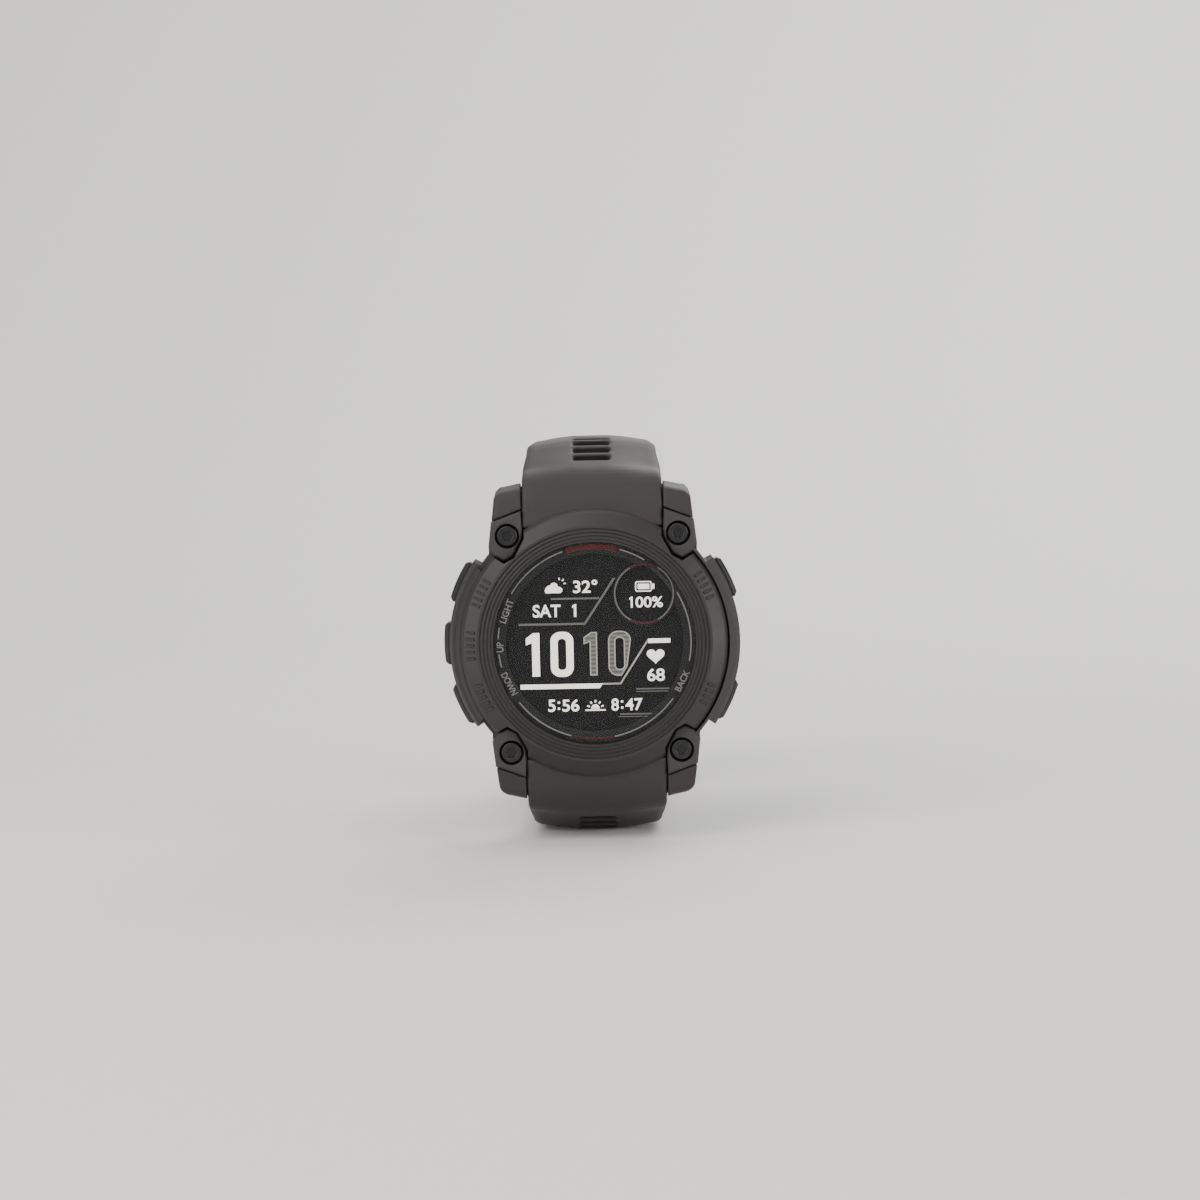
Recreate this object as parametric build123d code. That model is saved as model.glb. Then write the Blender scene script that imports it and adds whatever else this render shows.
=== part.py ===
"""Rugged wrist smartwatch: 40 mm moulded case, five side buttons, two-piece 20 mm silicone strap.

The watch is drawn in its own axes first: +X towards 3 o'clock, +Y towards 12 o'clock, +Z out of
the display, with z = 0 on the rear cover. place() then stands it up: the display faces -Y,
12 o'clock points to +Z, and the lower strap half rests on z = 0.
"""

from build123d import *
import math
import os

# ---------------------------------------------------------------- driving dimensions, in mm
CASE_R = 20.0  # case, over the button side and the guard side
CORE_R = 18.9  # case, between those sides and the lugs
CASE_TOP = 9.4
CASE_LOW = 0.2
CAVITY_R = 14.2
COLLAR_R = 15.5  # upright ring that holds the lens
COLLAR_TOP = 11.25
LENS_SEAT_R = 14.55
SUB_WINDOW = (6.9, 6.6)  # centre of the small round display window
SIDE_ANGLE = 35.0  # half angle of the wide sides

BEZEL_R = 18.3
BEZEL_TOP = 12.5
BEZEL_FLANGE_R = 19.1

LUG_X = 9.8  # inner face of each lug
LUG_OUT_X = 14.3
PAD_TOP = 11.2
SCREW_X, SCREW_Y = 11.7, 14.9

PIN_Y, PIN_Z = 18.8, 4.4  # spring bar axis
LUG_ROUND_R = 2.6
KNUCKLE_R = 2.2
BAY_Y = 16.3  # flat wall of the case behind the knuckle

STRAP_X = 9.6  # half width between the lugs
STRAP_TIP_X = 9.0  # half width at the free ends
STRAP_T = 2.8
STRAP_OUT_Y = 27.8  # outer face of the straight run
SHOULDER_X = 13.5
SHOULDER_Y = 21.3

UPPER_BEND_R = 17.0  # strap centre line, where the buckle half turns down
UPPER_RUN_Z = -26.0
LOWER_BEND_R = 30.0  # strap centre line, where the holed half turns up
LOWER_RUN_Z = -32.0
TAIL_LENGTH = 12.0

BUTTON_ANGLES = {"light": 155.0, "up": 180.0, "down": 205.0, "start": 25.0, "back": -25.0}
BUTTON_Z = 5.6
BUTTON_CAP_R = 20.8
BUTTON_HALF = 2.9
BUTTON_HALF_Z = 1.6
BUTTON_SHAFT_R = 0.75

RUN_GAP = 0.05  # radial clearance of a shaft in its hole
GAP = 0.2  # clearance between moulded parts

COVER_R = 15.2
EAR_XY = 11.2  # rear screws, on the diagonals
EAR_R = 1.7
CONTACT_X = [-2.4, -0.8, 0.8, 2.4]
CONTACT_Y = -11.2

# the strap turns down with one centre and up with the other
UPPER_CENTRE = (STRAP_OUT_Y - STRAP_T / 2 - UPPER_BEND_R, UPPER_RUN_Z)
LOWER_CENTRE = (-(STRAP_OUT_Y - STRAP_T / 2) + LOWER_BEND_R, LOWER_RUN_Z)
BAR_Y, BAR_Z = UPPER_CENTRE[0], UPPER_RUN_Z - UPPER_BEND_R  # buckle bar axis
BAR_R = 0.80
BAR_BORE_R = 0.88  # in the strap's loop and the tongue's roll

DEPTH_BACK = LOWER_RUN_Z - LOWER_BEND_R - STRAP_T / 2


# ---------------------------------------------------------------- small helpers
def disc(radius, z0, z1, x=0.0, y=0.0):
    return Pos(x, y, (z0 + z1) / 2) * Cylinder(radius, z1 - z0)


def ring(r_in, r_out, z0, z1, x=0.0, y=0.0):
    return disc(r_out, z0, z1, x, y) - disc(r_in, z0 - 1, z1 + 1, x, y)


def block(x0, x1, y0, y1, z0, z1):
    return Pos((x0 + x1) / 2, (y0 + y1) / 2, (z0 + z1) / 2) * Box(x1 - x0, y1 - y0, z1 - z0)


def rod_x(radius, x0, x1, y=0.0, z=0.0):
    return Pos((x0 + x1) / 2, y, z) * Rot(0, 90, 0) * Cylinder(radius, x1 - x0)


def plate(points, z0, z1):
    """Flat plate with this outline in plan."""
    return Pos(0, 0, z0) * extrude(make_face(Polyline(*points, close=True)), z1 - z0)


def turned(points):
    """Solid of revolution about Z from (radius, z) points."""
    section = make_face(Polyline(*[(r, 0, z) for r, z in points], close=True))
    return revolve(section, Axis.Z)


def slab(face_yz, x0, x1):
    """A face drawn in the YZ plane, made into a solid from x0 to x1."""
    return Pos(x0, 0, 0) * extrude(face_yz, x1 - x0, dir=(1, 0, 0))


def yz(points):
    return [Vector(0, y, z) for y, z in points]


def wedge(angle, half, reach=40.0):
    """Triangle in plan that covers angle - half to angle + half degrees."""
    a0, a1 = math.radians(angle - half), math.radians(angle + half)
    return [
        (0, 0),
        (reach * math.cos(a0), reach * math.sin(a0)),
        (reach * math.cos(a1), reach * math.sin(a1)),
    ]


def sector(r_in, r_out, angle, half, z0, z1):
    return ring(r_in, r_out, z0, z1) & plate(wedge(angle, half), z0, z1)


def mirror_x(shape):
    return mirror(shape, Plane.YZ)


def mirror_y(shape):
    return mirror(shape, Plane.XZ)


def corners(shape):
    """The shape at 1:30 and its mirror images at the other three corners."""
    right = [shape, mirror_y(shape)]
    return right + [mirror_x(s) for s in right]


def together(shapes):
    total = shapes[0]
    for shape in shapes[1:]:
        total = total + shape
    return total


def minus(shape, cutters):
    for cutter in cutters:
        shape = shape - cutter
    return shape


# ---------------------------------------------------------------- case and covers
PAD = [(9.8, 18.3), (9.6, 14.6), (10.9, 12.1), (12.2, 11.4), (13.5, 12.2), (14.3, 13.4), (13.9, 16.8)]
LUG_PLAN = [
    (LUG_X, 9.5), (LUG_X, 22.5), (12.0, 22.5), (12.7, 21.4), (13.3, 20.8), (13.6, 19.8), (13.9, 16.8),
    (LUG_OUT_X, 13.2), (LUG_OUT_X, 9.5),
]


def pad_clearance(gap):
    """The pad's outline grown by gap, for the bezel's notch."""
    outline = make_face(Polyline(*PAD, close=True))
    return Pos(0, 0, CASE_TOP - 1) * extrude(offset(outline, gap), 6)


def case_plan(z0, z1):
    """Round case in plan, wider on the button side and the guard side."""
    wide = disc(CASE_R, z0, z1) & (
        plate(wedge(0, SIDE_ANGLE), z0, z1) + plate(wedge(180, SIDE_ANGLE), z0, z1)
    )
    return disc(CORE_R, z0, z1) + wide


def lug():
    """One lug: a round end about the spring bar, with a raised screw pad on top."""
    low = make_face(
        Polyline(*yz([(9.5, 0.9), (PIN_Y, PIN_Z - LUG_ROUND_R), (PIN_Y, PIN_Z + LUG_ROUND_R),
                      (15.6, PIN_Z + LUG_ROUND_R), (15.6, 9.4), (9.5, 9.4)]), close=True)
    )
    arm = slab(low, LUG_X, LUG_OUT_X) + rod_x(LUG_ROUND_R, LUG_X, LUG_OUT_X, PIN_Y, PIN_Z)
    arm = arm & plate(LUG_PLAN, 0, CASE_TOP)
    pad = plate(PAD, CASE_TOP - 2.4, PAD_TOP)
    pad = chamfer(pad.faces().sort_by(Axis.Z)[-1].edges(), 0.25)
    return arm + pad


def case_body():
    envelope = turned([(0, CASE_LOW), (18.1, CASE_LOW), (18.9, 1.0), (CASE_R, 3.4), (CASE_R, 8.7),
                       (19.6, CASE_TOP), (0, CASE_TOP)])
    body = case_plan(CASE_LOW, CASE_TOP) & envelope
    bay = block(-LUG_X, LUG_X, BAY_Y, 24, -1, 7.8)
    bay_top = block(-LUG_X, LUG_X, 14, 24, 7.8, 12) - disc(BEZEL_R, 7, 13)
    body = minus(body, [bay, mirror_y(bay), bay_top, mirror_y(bay_top)])
    body = together([body] + corners(lug()))
    guard = (case_plan(CASE_TOP - 0.5, PAD_TOP) - disc(BEZEL_R + 0.25, 8, 12)) & block(
        13.6, 22, -13.6, 13.6, 8, 12
    )
    guard = guard & turned([(0, 8), (CASE_R, 8), (CASE_R, PAD_TOP - 0.5), (19.5, PAD_TOP), (0, PAD_TOP)])
    body = body + guard + disc(COLLAR_R, CASE_TOP - 0.5, COLLAR_TOP)
    body = minus(body, [
        disc(CAVITY_R, 1.3, 8.8),
        disc(13.3, 8, 10),
        disc(LENS_SEAT_R, 9.8, 12),
        disc(COVER_R + 0.1, -1, 1.4),
        ring(14.45, 15.05, 1.2, 1.9),
    ])
    ear = disc(EAR_R + 0.12, -1, 1.4, EAR_XY, EAR_XY) + disc(0.62, 1, 4.4, EAR_XY, EAR_XY)
    screw_hole = (
        disc(1.7, 9.9, 12, SCREW_X, SCREW_Y)
        + disc(0.85, 5, 10, SCREW_X, SCREW_Y)
        + disc(1.42, 5.1, 8.62, SCREW_X, SCREW_Y)
    )
    bar_hole = rod_x(0.40 + RUN_GAP, LUG_X - 1, 11.3, PIN_Y, PIN_Z)
    body = minus(body, corners(ear) + corners(screw_hole) + corners(bar_hole))
    for angle in BUTTON_ANGLES.values():
        pocket = block(17.9, 24, -BUTTON_HALF - GAP, BUTTON_HALF + GAP,
                       BUTTON_Z - BUTTON_HALF_Z - GAP, BUTTON_Z + BUTTON_HALF_Z + GAP)
        pocket = pocket + rod_x(1.3, 13, 19, 0, BUTTON_Z)
        body = body - Rot(0, 0, angle) * pocket
    return body


def bezel():
    rim = [(BEZEL_R - 0.1, CASE_TOP + 0.05), (BEZEL_R, 9.6), (BEZEL_R, 11.0), (BEZEL_R - 0.4, 11.45)]
    terraces = [
        (16.2, BEZEL_TOP), (15.85, BEZEL_TOP), (15.8, 12.2), (15.35, 12.3), (15.3, 12.0), (14.85, 12.1),
        (14.8, 11.82), (14.35, 11.9), (14.3, 11.65), (13.95, 11.7),
    ]
    seat = [(13.9, 11.6), (13.9, 11.4), (15.65, 11.4), (15.65, CASE_TOP + 0.05)]
    hoop = turned(rim + terraces + seat)
    flange = sector(17.0, BEZEL_FLANGE_R, 180, SIDE_ANGLE - 1.5, CASE_TOP + 0.05, 10.6)
    top_arcs = flange.faces().sort_by(Axis.Z)[-1].edges().filter_by(GeomType.CIRCLE)
    flange = chamfer(top_arcs.sort_by(SortBy.RADIUS)[-1], 0.5)
    hoop = hoop + flange
    return minus(hoop, corners(pad_clearance(GAP)))


def rear_cover():
    """Lid with four screw ears, a raised sensor boss, the charging socket and the air vent."""
    lid = turned([(0, 0), (COVER_R - 0.3, 0), (COVER_R, 0.3), (COVER_R, 1.35), (0, 1.35)])
    lid = lid + ring(13.1, 13.9, 1.2, 2.4)
    lid = together([lid] + corners(disc(EAR_R, 0, 1.35, EAR_XY, EAR_XY)))
    lid = lid + turned([(0, 0.4), (8.8, 0.4), (8.8, 0), (7.7, -0.7), (0, -0.7)])
    lid = minus(lid, [disc(7.0, -0.2, 3), disc(5.8, -1, 0)])
    screw_hole = disc(1.15, -1, 0.75, EAR_XY, EAR_XY) + disc(0.68, 0, 2, EAR_XY, EAR_XY)
    socket = Pos(0, CONTACT_Y, -0.1) * extrude(RectangleRounded(7.0, 2.6, 0.8), 0.8)
    lid = minus(lid, corners(screw_hole) + [socket, disc(0.35, -1, 2, -11.0, 4.0)])
    for x in CONTACT_X:
        lid = lid - disc(0.48, 0, 2, x, CONTACT_Y)
    return lid


def lens():
    glass = disc(14.05, 10.2, 11.3)
    return chamfer(glass.faces().sort_by(Axis.Z)[-1].edges(), 0.12)


def dial_ring():
    """Mask under the glass, with a thin hoop round the small window at upper right."""
    mask = ring(12.2, 14.3, 9.82, 10.12) + disc(4.3, 9.82, 10.12, *SUB_WINDOW)
    return mask - disc(3.85, 9, 11, *SUB_WINDOW)


def socket_screw(x, y, head_r, head_h, shank_r, length, key_r):
    """Hexagon socket screw with its head's top face at z = 0, pointing up."""
    head = chamfer(disc(head_r, -head_h, 0).faces().sort_by(Axis.Z)[-1].edges(), 0.15)
    key = Pos(0, 0, -0.6 * head_h) * extrude(RegularPolygon(key_r, 6), head_h)
    return Pos(x, y, 0) * (head - key + disc(shank_r, -length, -head_h + 0.02))


# ---------------------------------------------------------------- inside the case
BATTERY_CUT_Y = -4.5


def battery_shape(radius, z0, z1):
    return disc(radius, z0, z1) - block(-20, 20, -20, BATTERY_CUT_Y, z0 - 1, z1 + 1)


MOTOR_XY = (-4.2, -8.2)


def motor_can():
    x, y = MOTOR_XY
    return (disc(3.0, 2.75, 5.1, x, y) - disc(2.8, 2.95, 4.9, x, y)) + disc(0.25, 2.9, 4.95, x, y)


def motor_rotor():
    """Off-centre weight: half a disc, on a hub that turns on the fixed pin."""
    x, y = MOTOR_XY
    weight = disc(2.6, 3.2, 4.6, x, y) - block(x - 4, x + 4, y + 0.1, y + 4, 3, 5)
    hub = disc(0.8, 3.2, 4.6, x, y)
    return weight + hub - disc(0.25 + RUN_GAP, 3, 5, x, y)


def main_board():
    return disc(13.2, 6.9, 7.7) - block(-3.4, 3.4, -14, -12.3, 6, 8)


def board_shields():
    cans = [(-8.5, -2.5, -3.0, 4.5), (0.5, 8.5, 1.0, 7.5), (-1.0, 5.5, -7.5, -1.5), (-7.0, -2.0, 6.0, 10.0)]
    return [block(x0, x1, y0, y1, 7.71, 8.4) for x0, x1, y0, y1 in cans]


def sensor_emitters():
    """Four lamps round one photodiode, all on the sensor board under the window."""
    diode = block(-1.2, 1.2, -1.2, 1.2, 0.08, 0.6)
    lamp = block(-0.7, 0.7, -0.7, 0.7, 0.08, 0.6)
    return [Pos(x, y, 0) * lamp for x, y in ((0, 2.9), (0, -2.9), (2.9, 0), (-2.9, 0))] + [diode]


def sensor_window():
    return disc(5.7, -0.7, -0.1) + disc(6.8, -0.18, 0.0)


# ---------------------------------------------------------------- buttons
def button(angle):
    cap = ring(18.9, BUTTON_CAP_R, BUTTON_Z - BUTTON_HALF_Z, BUTTON_Z + BUTTON_HALF_Z) & block(
        15, 22, -BUTTON_HALF, BUTTON_HALF, 0, 12
    )
    outer = cap.faces().filter_by(GeomType.CYLINDER).sort_by(Axis.X)[-1]
    cap = chamfer(outer.edges(), 0.4)
    shaft = rod_x(BUTTON_SHAFT_R, 13.3, 19.2, 0, BUTTON_Z)
    grooves = [rod_x(1.2, x0, x1, 0, BUTTON_Z) - rod_x(r, x0 - 1, x1 + 1, 0, BUTTON_Z)
               for x0, x1, r in ((16.2, 16.8, 0.42), (13.6, 13.9, 0.5))]
    return Rot(0, 0, angle) * (cap + minus(shaft, grooves))


def button_seal(angle):
    return Rot(0, 0, angle) * Pos(16.5, 0, BUTTON_Z) * Rot(0, 90, 0) * Torus(0.6, 0.175)


def button_clip(angle):
    clip = rod_x(1.35, 13.63, 13.87, 0, BUTTON_Z) - rod_x(0.52, 13, 15, 0, BUTTON_Z)
    return Rot(0, 0, angle) * (clip - block(13, 15, -0.45, 0.45, BUTTON_Z, BUTTON_Z + 2))


def button_bushing(angle):
    sleeve = rod_x(1.27, 14.4, 18.0, 0, BUTTON_Z) - rod_x(BUTTON_SHAFT_R + RUN_GAP, 14, 19, 0, BUTTON_Z)
    return Rot(0, 0, angle) * sleeve


def tact_switch(angle):
    housing = block(11.45, 12.6, -1.5, 1.5, 4.7, 6.85) + rod_x(0.5, 12.5, 12.76, 0, BUTTON_Z)
    return Rot(0, 0, angle) * housing


# ---------------------------------------------------------------- strap
def strap_head():
    """Outline of a strap half where it leaves the case, on the 12 o'clock side, in the YZ plane."""
    half = STRAP_OUT_Y - STRAP_T
    outer_points = yz([(15.7, 11.1), (22.9, 9.9), (STRAP_OUT_Y, -3.2), (STRAP_OUT_Y, -20)])
    outer = FilletPolyline(*outer_points, radius=[4.5, 14])
    inner = FilletPolyline(*yz([(half, -20), (half, -5.5), (19.8, 2.4)]), radius=[12])
    edges = [outer, Line(outer @ 1, inner @ 0), inner]
    back = Polyline(*[inner @ 1] + yz([(16.6, PIN_Z), (16.6, 8.05), (15.7, 8.05), (15.7, 11.1)]))
    return make_face(edges + [back])


def strap_run(centre, bend_r, turn, end_run):
    """Straight run, bend and straight end of a strap half, with the centre of the bend given."""
    cy, cz = centre
    r_out, r_in = bend_r + STRAP_T / 2, bend_r - STRAP_T / 2
    last = math.radians(turn)
    tip = Vector(0, -math.sin(last), -math.cos(last)) * end_run

    def on_bend(radius, angle):
        a = math.radians(angle)
        return Vector(0, cy + radius * math.cos(a), cz - radius * math.sin(a))

    def bend(radius):
        return ThreePointArc(on_bend(radius, 0), on_bend(radius, turn / 2), on_bend(radius, turn))

    outer, inner = bend(r_out), bend(r_in)
    start_out, start_in = Vector(0, cy + r_out, -19), Vector(0, cy + r_in, -19)
    edges = [Line(start_out, outer @ 0), outer, inner, Line(inner @ 0, start_in), Line(start_in, start_out)]
    if end_run:
        end = Polyline(outer @ 1, outer @ 1 + tip, inner @ 1 + tip, inner @ 1)
    else:
        end = Line(outer @ 1, inner @ 1)
    return make_face(edges + [end])


def strap_taper():
    """Plan of the strap seen from 12 o'clock: shoulders at the case, then a gentle taper."""
    side = [(14, 13), (14, 3), (STRAP_X, 3), (STRAP_TIP_X, UPPER_RUN_Z), (STRAP_TIP_X, -70)]
    points = side + [(-x, z) for x, z in reversed(side)]
    outline = make_face(Polyline(*[(x, 0, z) for x, z in points], close=True))
    return Pos(0, 35, 0) * extrude(outline, 70, dir=(0, -1, 0))


def shoulder():
    """Part of the strap end that covers the lug outside the pad."""
    crest = [(15.7, 11.1), (20.6, 10.28), (SHOULDER_Y, 9.6), (22.0, 5.6), (21.5, PIN_Z)]
    outline = make_face(Polyline(*yz(crest + [(PIN_Y, PIN_Z), (15.7, 7.5)]), close=True))
    gap = 0.25
    wing = slab(outline, STRAP_X - 0.3, SHOULDER_X) - rod_x(LUG_ROUND_R + gap, 5, 15, PIN_Y, PIN_Z)
    wing = wing - block(5, 15, 10, PIN_Y, 0, PIN_Z + LUG_ROUND_R + gap)
    pad_edge = [(16, 15.85 + gap), (9.8, 18.3 + gap), (STRAP_X - 0.3, 18.5 + gap)]
    return wing - plate([(5, 10), (16, 10)] + pad_edge, 0, 12)


def lever_slot():
    """Room for the quick release lever, through the tube's wall and the strap's wrist side."""
    return block(3.5, 6.5, PIN_Y - 0.45, PIN_Y + 0.45, 0, PIN_Z)


def strap_end():
    """What both halves share: tongue between the lugs, shoulders and the spring bar's bore."""
    head = slab(strap_head(), -STRAP_X, STRAP_X) + rod_x(KNUCKLE_R, -STRAP_X, STRAP_X, PIN_Y, PIN_Z)
    head = head + shoulder() + mirror_x(shoulder())
    head = head - disc(BEZEL_R + 0.25, 7.2, 14)
    return head - rod_x(0.95, -12, 12, PIN_Y, PIN_Z) - lever_slot()


def strap_upper():
    """Buckle half: turns down behind the watch and ends in a loop round the buckle bar."""
    body = strap_end() + slab(strap_run(UPPER_CENTRE, UPPER_BEND_R, 88, 0), -STRAP_X, STRAP_X)
    body = body & strap_taper()
    loop = rod_x(1.9, -STRAP_TIP_X + 0.1, STRAP_TIP_X - 0.1, BAR_Y, BAR_Z)
    tongue_gap = block(-2.5, 2.5, BAR_Y - 3, BAR_Y + 2.6, BAR_Z - 3, BAR_Z + 3)
    return body + loop - rod_x(BAR_BORE_R, -12, 12, BAR_Y, BAR_Z) - tongue_gap


def strap_hole(y, z, turn):
    """Cutter for one oblong buckle hole. turn is the strap's direction there."""
    return Pos(0, y, z) * Rot(turn, 0, 0) * Box(5.1, 1.7, 8)


HOLE_PITCH = 5.5


def strap_lower():
    """Holed half: turns up behind the watch and ends in a rounded tail. Drawn at 12 o'clock."""
    centre = (-LOWER_CENTRE[0], LOWER_CENTRE[1])
    body = strap_end() + slab(strap_run(centre, LOWER_BEND_R, 90, TAIL_LENGTH), -STRAP_X, STRAP_X)
    body = body & strap_taper()
    tip_y = centre[0] - TAIL_LENGTH
    nose = disc(STRAP_TIP_X + 1.2, -70, -50, 0, tip_y + STRAP_TIP_X + 1.2)
    body = body - (block(-12, 12, tip_y - 1, tip_y + 6, -70, -55) - nose)
    step = math.degrees(HOLE_PITCH / LOWER_BEND_R)
    for k in range(6):
        a = math.radians(88 - k * step)
        y = centre[0] + LOWER_BEND_R * math.cos(a)
        z = centre[1] - LOWER_BEND_R * math.sin(a)
        body = body - strap_hole(y, z, 90 - math.degrees(a))
    return mirror_y(body - strap_hole(tip_y + 6.5, centre[1] - LOWER_BEND_R, 0))


def spring_bar():
    """Tube with a fixed tip at 9 o'clock and an open end at 3 o'clock for the sliding tip."""
    tube = rod_x(0.9, -9.4, 9.4) - rod_x(0.46, 1.5, 12)
    tube = tube - block(3.5, 6.5, -0.4, 0.4, -2, 0)
    return tube + rod_x(0.40, -10.9, -9.2)


def release_lever():
    """Sliding tip of the spring bar, with the thumb lever fixed to it."""
    tip = rod_x(0.40, 4.2, 10.9)
    stem = block(4.95, 6.25, -0.3, 0.3, -2.5, 0)
    knob = block(4.7, 6.4, -0.8, 0.8, -3.1, -2.4)
    knob = chamfer(knob.faces().sort_by(Axis.Z)[0].edges(), 0.2)
    return tip + stem + knob


def at_pin(shape, side):
    return Pos(0, side * PIN_Y, PIN_Z) * shape


# ---------------------------------------------------------------- keepers and buckle
KEEPER_WALL = 1.3
KEEPER_SLOT = 0.25
KEEPER_SPAN = 13  # degrees of the strap's bend
FIXED_KEEPER_AT = 71
SLIDING_KEEPER_AT = 56


def keeper(first):
    """Hoop round the strap and the tail, bent to the strap's curve from angle first on."""
    cy, cz = UPPER_CENTRE
    r_in = UPPER_BEND_R - STRAP_T / 2 - KEEPER_SLOT
    r_out = UPPER_BEND_R + STRAP_T / 2 + STRAP_T + KEEPER_SLOT
    x = STRAP_TIP_X + KEEPER_SLOT

    def frame(half, low, high):
        face = Pos(0, cy + (low + high) / 2, cz) * Rectangle(2 * half, high - low)
        return face.rotate(Axis((0, cy, cz), (1, 0, 0)), -first)

    section = frame(x + KEEPER_WALL, r_in - KEEPER_WALL, r_out + KEEPER_WALL) - frame(x, r_in, r_out)
    return revolve(section, Axis((0, cy, cz), (-1, 0, 0)), KEEPER_SPAN)


def buckle_frame():
    """Open frame that hangs from its bar, drawn with the bar on the X axis and hanging towards -Y."""
    outer = block(-11.4, 11.4, -11.2, 0, -1.2, 1.2)
    outer = fillet(outer.edges().filter_by(Axis.Z).sort_by(Axis.Y)[:2], 2.4)
    body = outer + rod_x(1.35, -11.4, 11.4)
    window = fillet(block(-9.5, 9.5, -8.6, 3, -2, 2).edges().filter_by(Axis.Z).sort_by(Axis.Y)[:2], 1.0)
    crossbar_notch = block(-2.3, 2.3, -12, -8.4, -2.0, -0.7)
    return body - window - crossbar_notch - rod_x(BAR_R + RUN_GAP, -10.9, 10.9)


def buckle_bar():
    return rod_x(BAR_R, -10.8, 10.8)


def buckle_tongue():
    """Prong with a rolled end round the bar. It lies in the notch of the frame's cross bar."""
    side = yz([(-0.9, -0.9), (-0.9, -1.65), (-10.9, -1.75), (-11.3, -1.45), (-11.3, -0.75)])
    prong = slab(make_face(Polyline(*side, close=True)), -2.1, 2.1)
    return rod_x(1.65, -2.1, 2.1) + prong - rod_x(BAR_BORE_R, -3, 3)


def at_bar(shape):
    return Pos(0, BAR_Y, BAR_Z) * shape


# ---------------------------------------------------------------- assembly
def all_parts():
    rear_screw = socket_screw(EAR_XY, EAR_XY, 1.1, 0.6, 0.58, 4.1, 0.55)
    bezel_screw = socket_screw(SCREW_X, SCREW_Y, 1.45, 1.05, 0.78, 5.7, 0.85)
    parts = {
        "case_body": case_body(),
        "bezel": bezel(),
        "lens": lens(),
        "lens_gasket": ring(14.1, 14.5, 10.2, 11.2),
        "dial_ring": dial_ring(),
        "display_panel": disc(12.6, 8.95, 9.8),
        "display_backlight": disc(12.4, 8.55, 8.9),
        "display_frame": ring(12.65, 13.2, 8.5, 9.8),
        "display_flex": block(-2.8, 2.8, -12.1, -11.9, 7.75, 8.5),
        "main_board": main_board(),
        "board_shields": board_shields(),
        "gps_antenna": ring(13.4, 14.0, 7.0, 8.4),
        "battery": battery_shape(11.2, 2.7, 6.1),
        "battery_pad": battery_shape(10.6, 2.35, 2.65),
        "inner_frame": disc(12.9, 1.65, 2.3) - block(-1.2, 1.6, -7.2, -5.8, 1, 3),
        "motor_can": motor_can(),
        "motor_rotor": motor_rotor(),
        "buzzer": disc(2.9, 2.75, 4.2, 4.8, -8.2),
        "rear_cover": rear_cover(),
        "rear_gasket": ring(14.5, 15.0, 1.42, 1.85),
        "rear_screws": corners(Pos(0, 0, 0.1) * Rot(180, 0, 0) * rear_screw),
        "bezel_screws": corners(Pos(0, 0, 11.0) * bezel_screw),
        "thread_inserts": corners(ring(0.82, 1.4, 5.2, 8.6, SCREW_X, SCREW_Y)),
        "button_bushings": [button_bushing(a) for a in BUTTON_ANGLES.values()],
        "tact_switches": [tact_switch(a) for a in BUTTON_ANGLES.values()],
        "sensor_board": disc(6.8, 0.62, 1.1),
        "sensor_emitters": sensor_emitters(),
        "sensor_window": sensor_window(),
        "sensor_flex": block(-0.9, 1.3, -6.55, -6.4, 1.15, 6.85),
        "charge_contacts": [disc(0.45, 0.3, 1.55, x, CONTACT_Y) for x in CONTACT_X],
        "vent_membrane": disc(1.0, 1.4, 1.55, -11.0, 4.0),
        "strap_upper": strap_upper(),
        "strap_lower": strap_lower(),
        "spring_bar_upper": at_pin(spring_bar(), 1),
        "spring_bar_lower": at_pin(spring_bar(), -1),
        "release_lever_upper": at_pin(release_lever(), 1),
        "release_lever_lower": at_pin(release_lever(), -1),
        "keeper_fixed": keeper(FIXED_KEEPER_AT),
        "keeper_sliding": keeper(SLIDING_KEEPER_AT),
        "buckle_frame": at_bar(buckle_frame()),
        "buckle_bar": at_bar(buckle_bar()),
        "buckle_tongue": at_bar(buckle_tongue()),
    }
    for name, angle in BUTTON_ANGLES.items():
        parts[f"button_{name}"] = button(angle)
        parts[f"button_{name}_seal"] = button_seal(angle)
        parts[f"button_{name}_clip"] = button_clip(angle)
    return parts


def place(shape):
    """From the watch's own axes to the part's frame."""
    width_middle = (CASE_R - BUTTON_CAP_R) / 2
    depth_middle = (BEZEL_TOP + DEPTH_BACK) / 2
    return Pos(-width_middle, depth_middle, STRAP_OUT_Y) * Rot(90, 0, 0) * shape


def main():
    os.makedirs("parts", exist_ok=True)
    for name, made in all_parts().items():
        solids = []
        for piece in made if isinstance(made, list) else [made]:
            solids += place(piece).solids()
        print(name, len(solids), "solid(s)", round(sum(s.volume for s in solids), 1), "mm3")
        shape = solids[0] if len(solids) == 1 else Compound(solids)
        export_step(shape, f"parts/{name}.step")


main()
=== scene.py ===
# %% [markdown]
# # A rugged smartwatch, standing on its strap
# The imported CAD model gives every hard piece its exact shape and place. This script gives each of them
# a real finish, replaces the plain silicone solids with moulded ones, draws what the display shows, and
# sets the camera, the lights and the floor.

# %% Load the frame
import math

import bmesh
import bpy
from mathutils import Matrix, Vector


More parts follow.
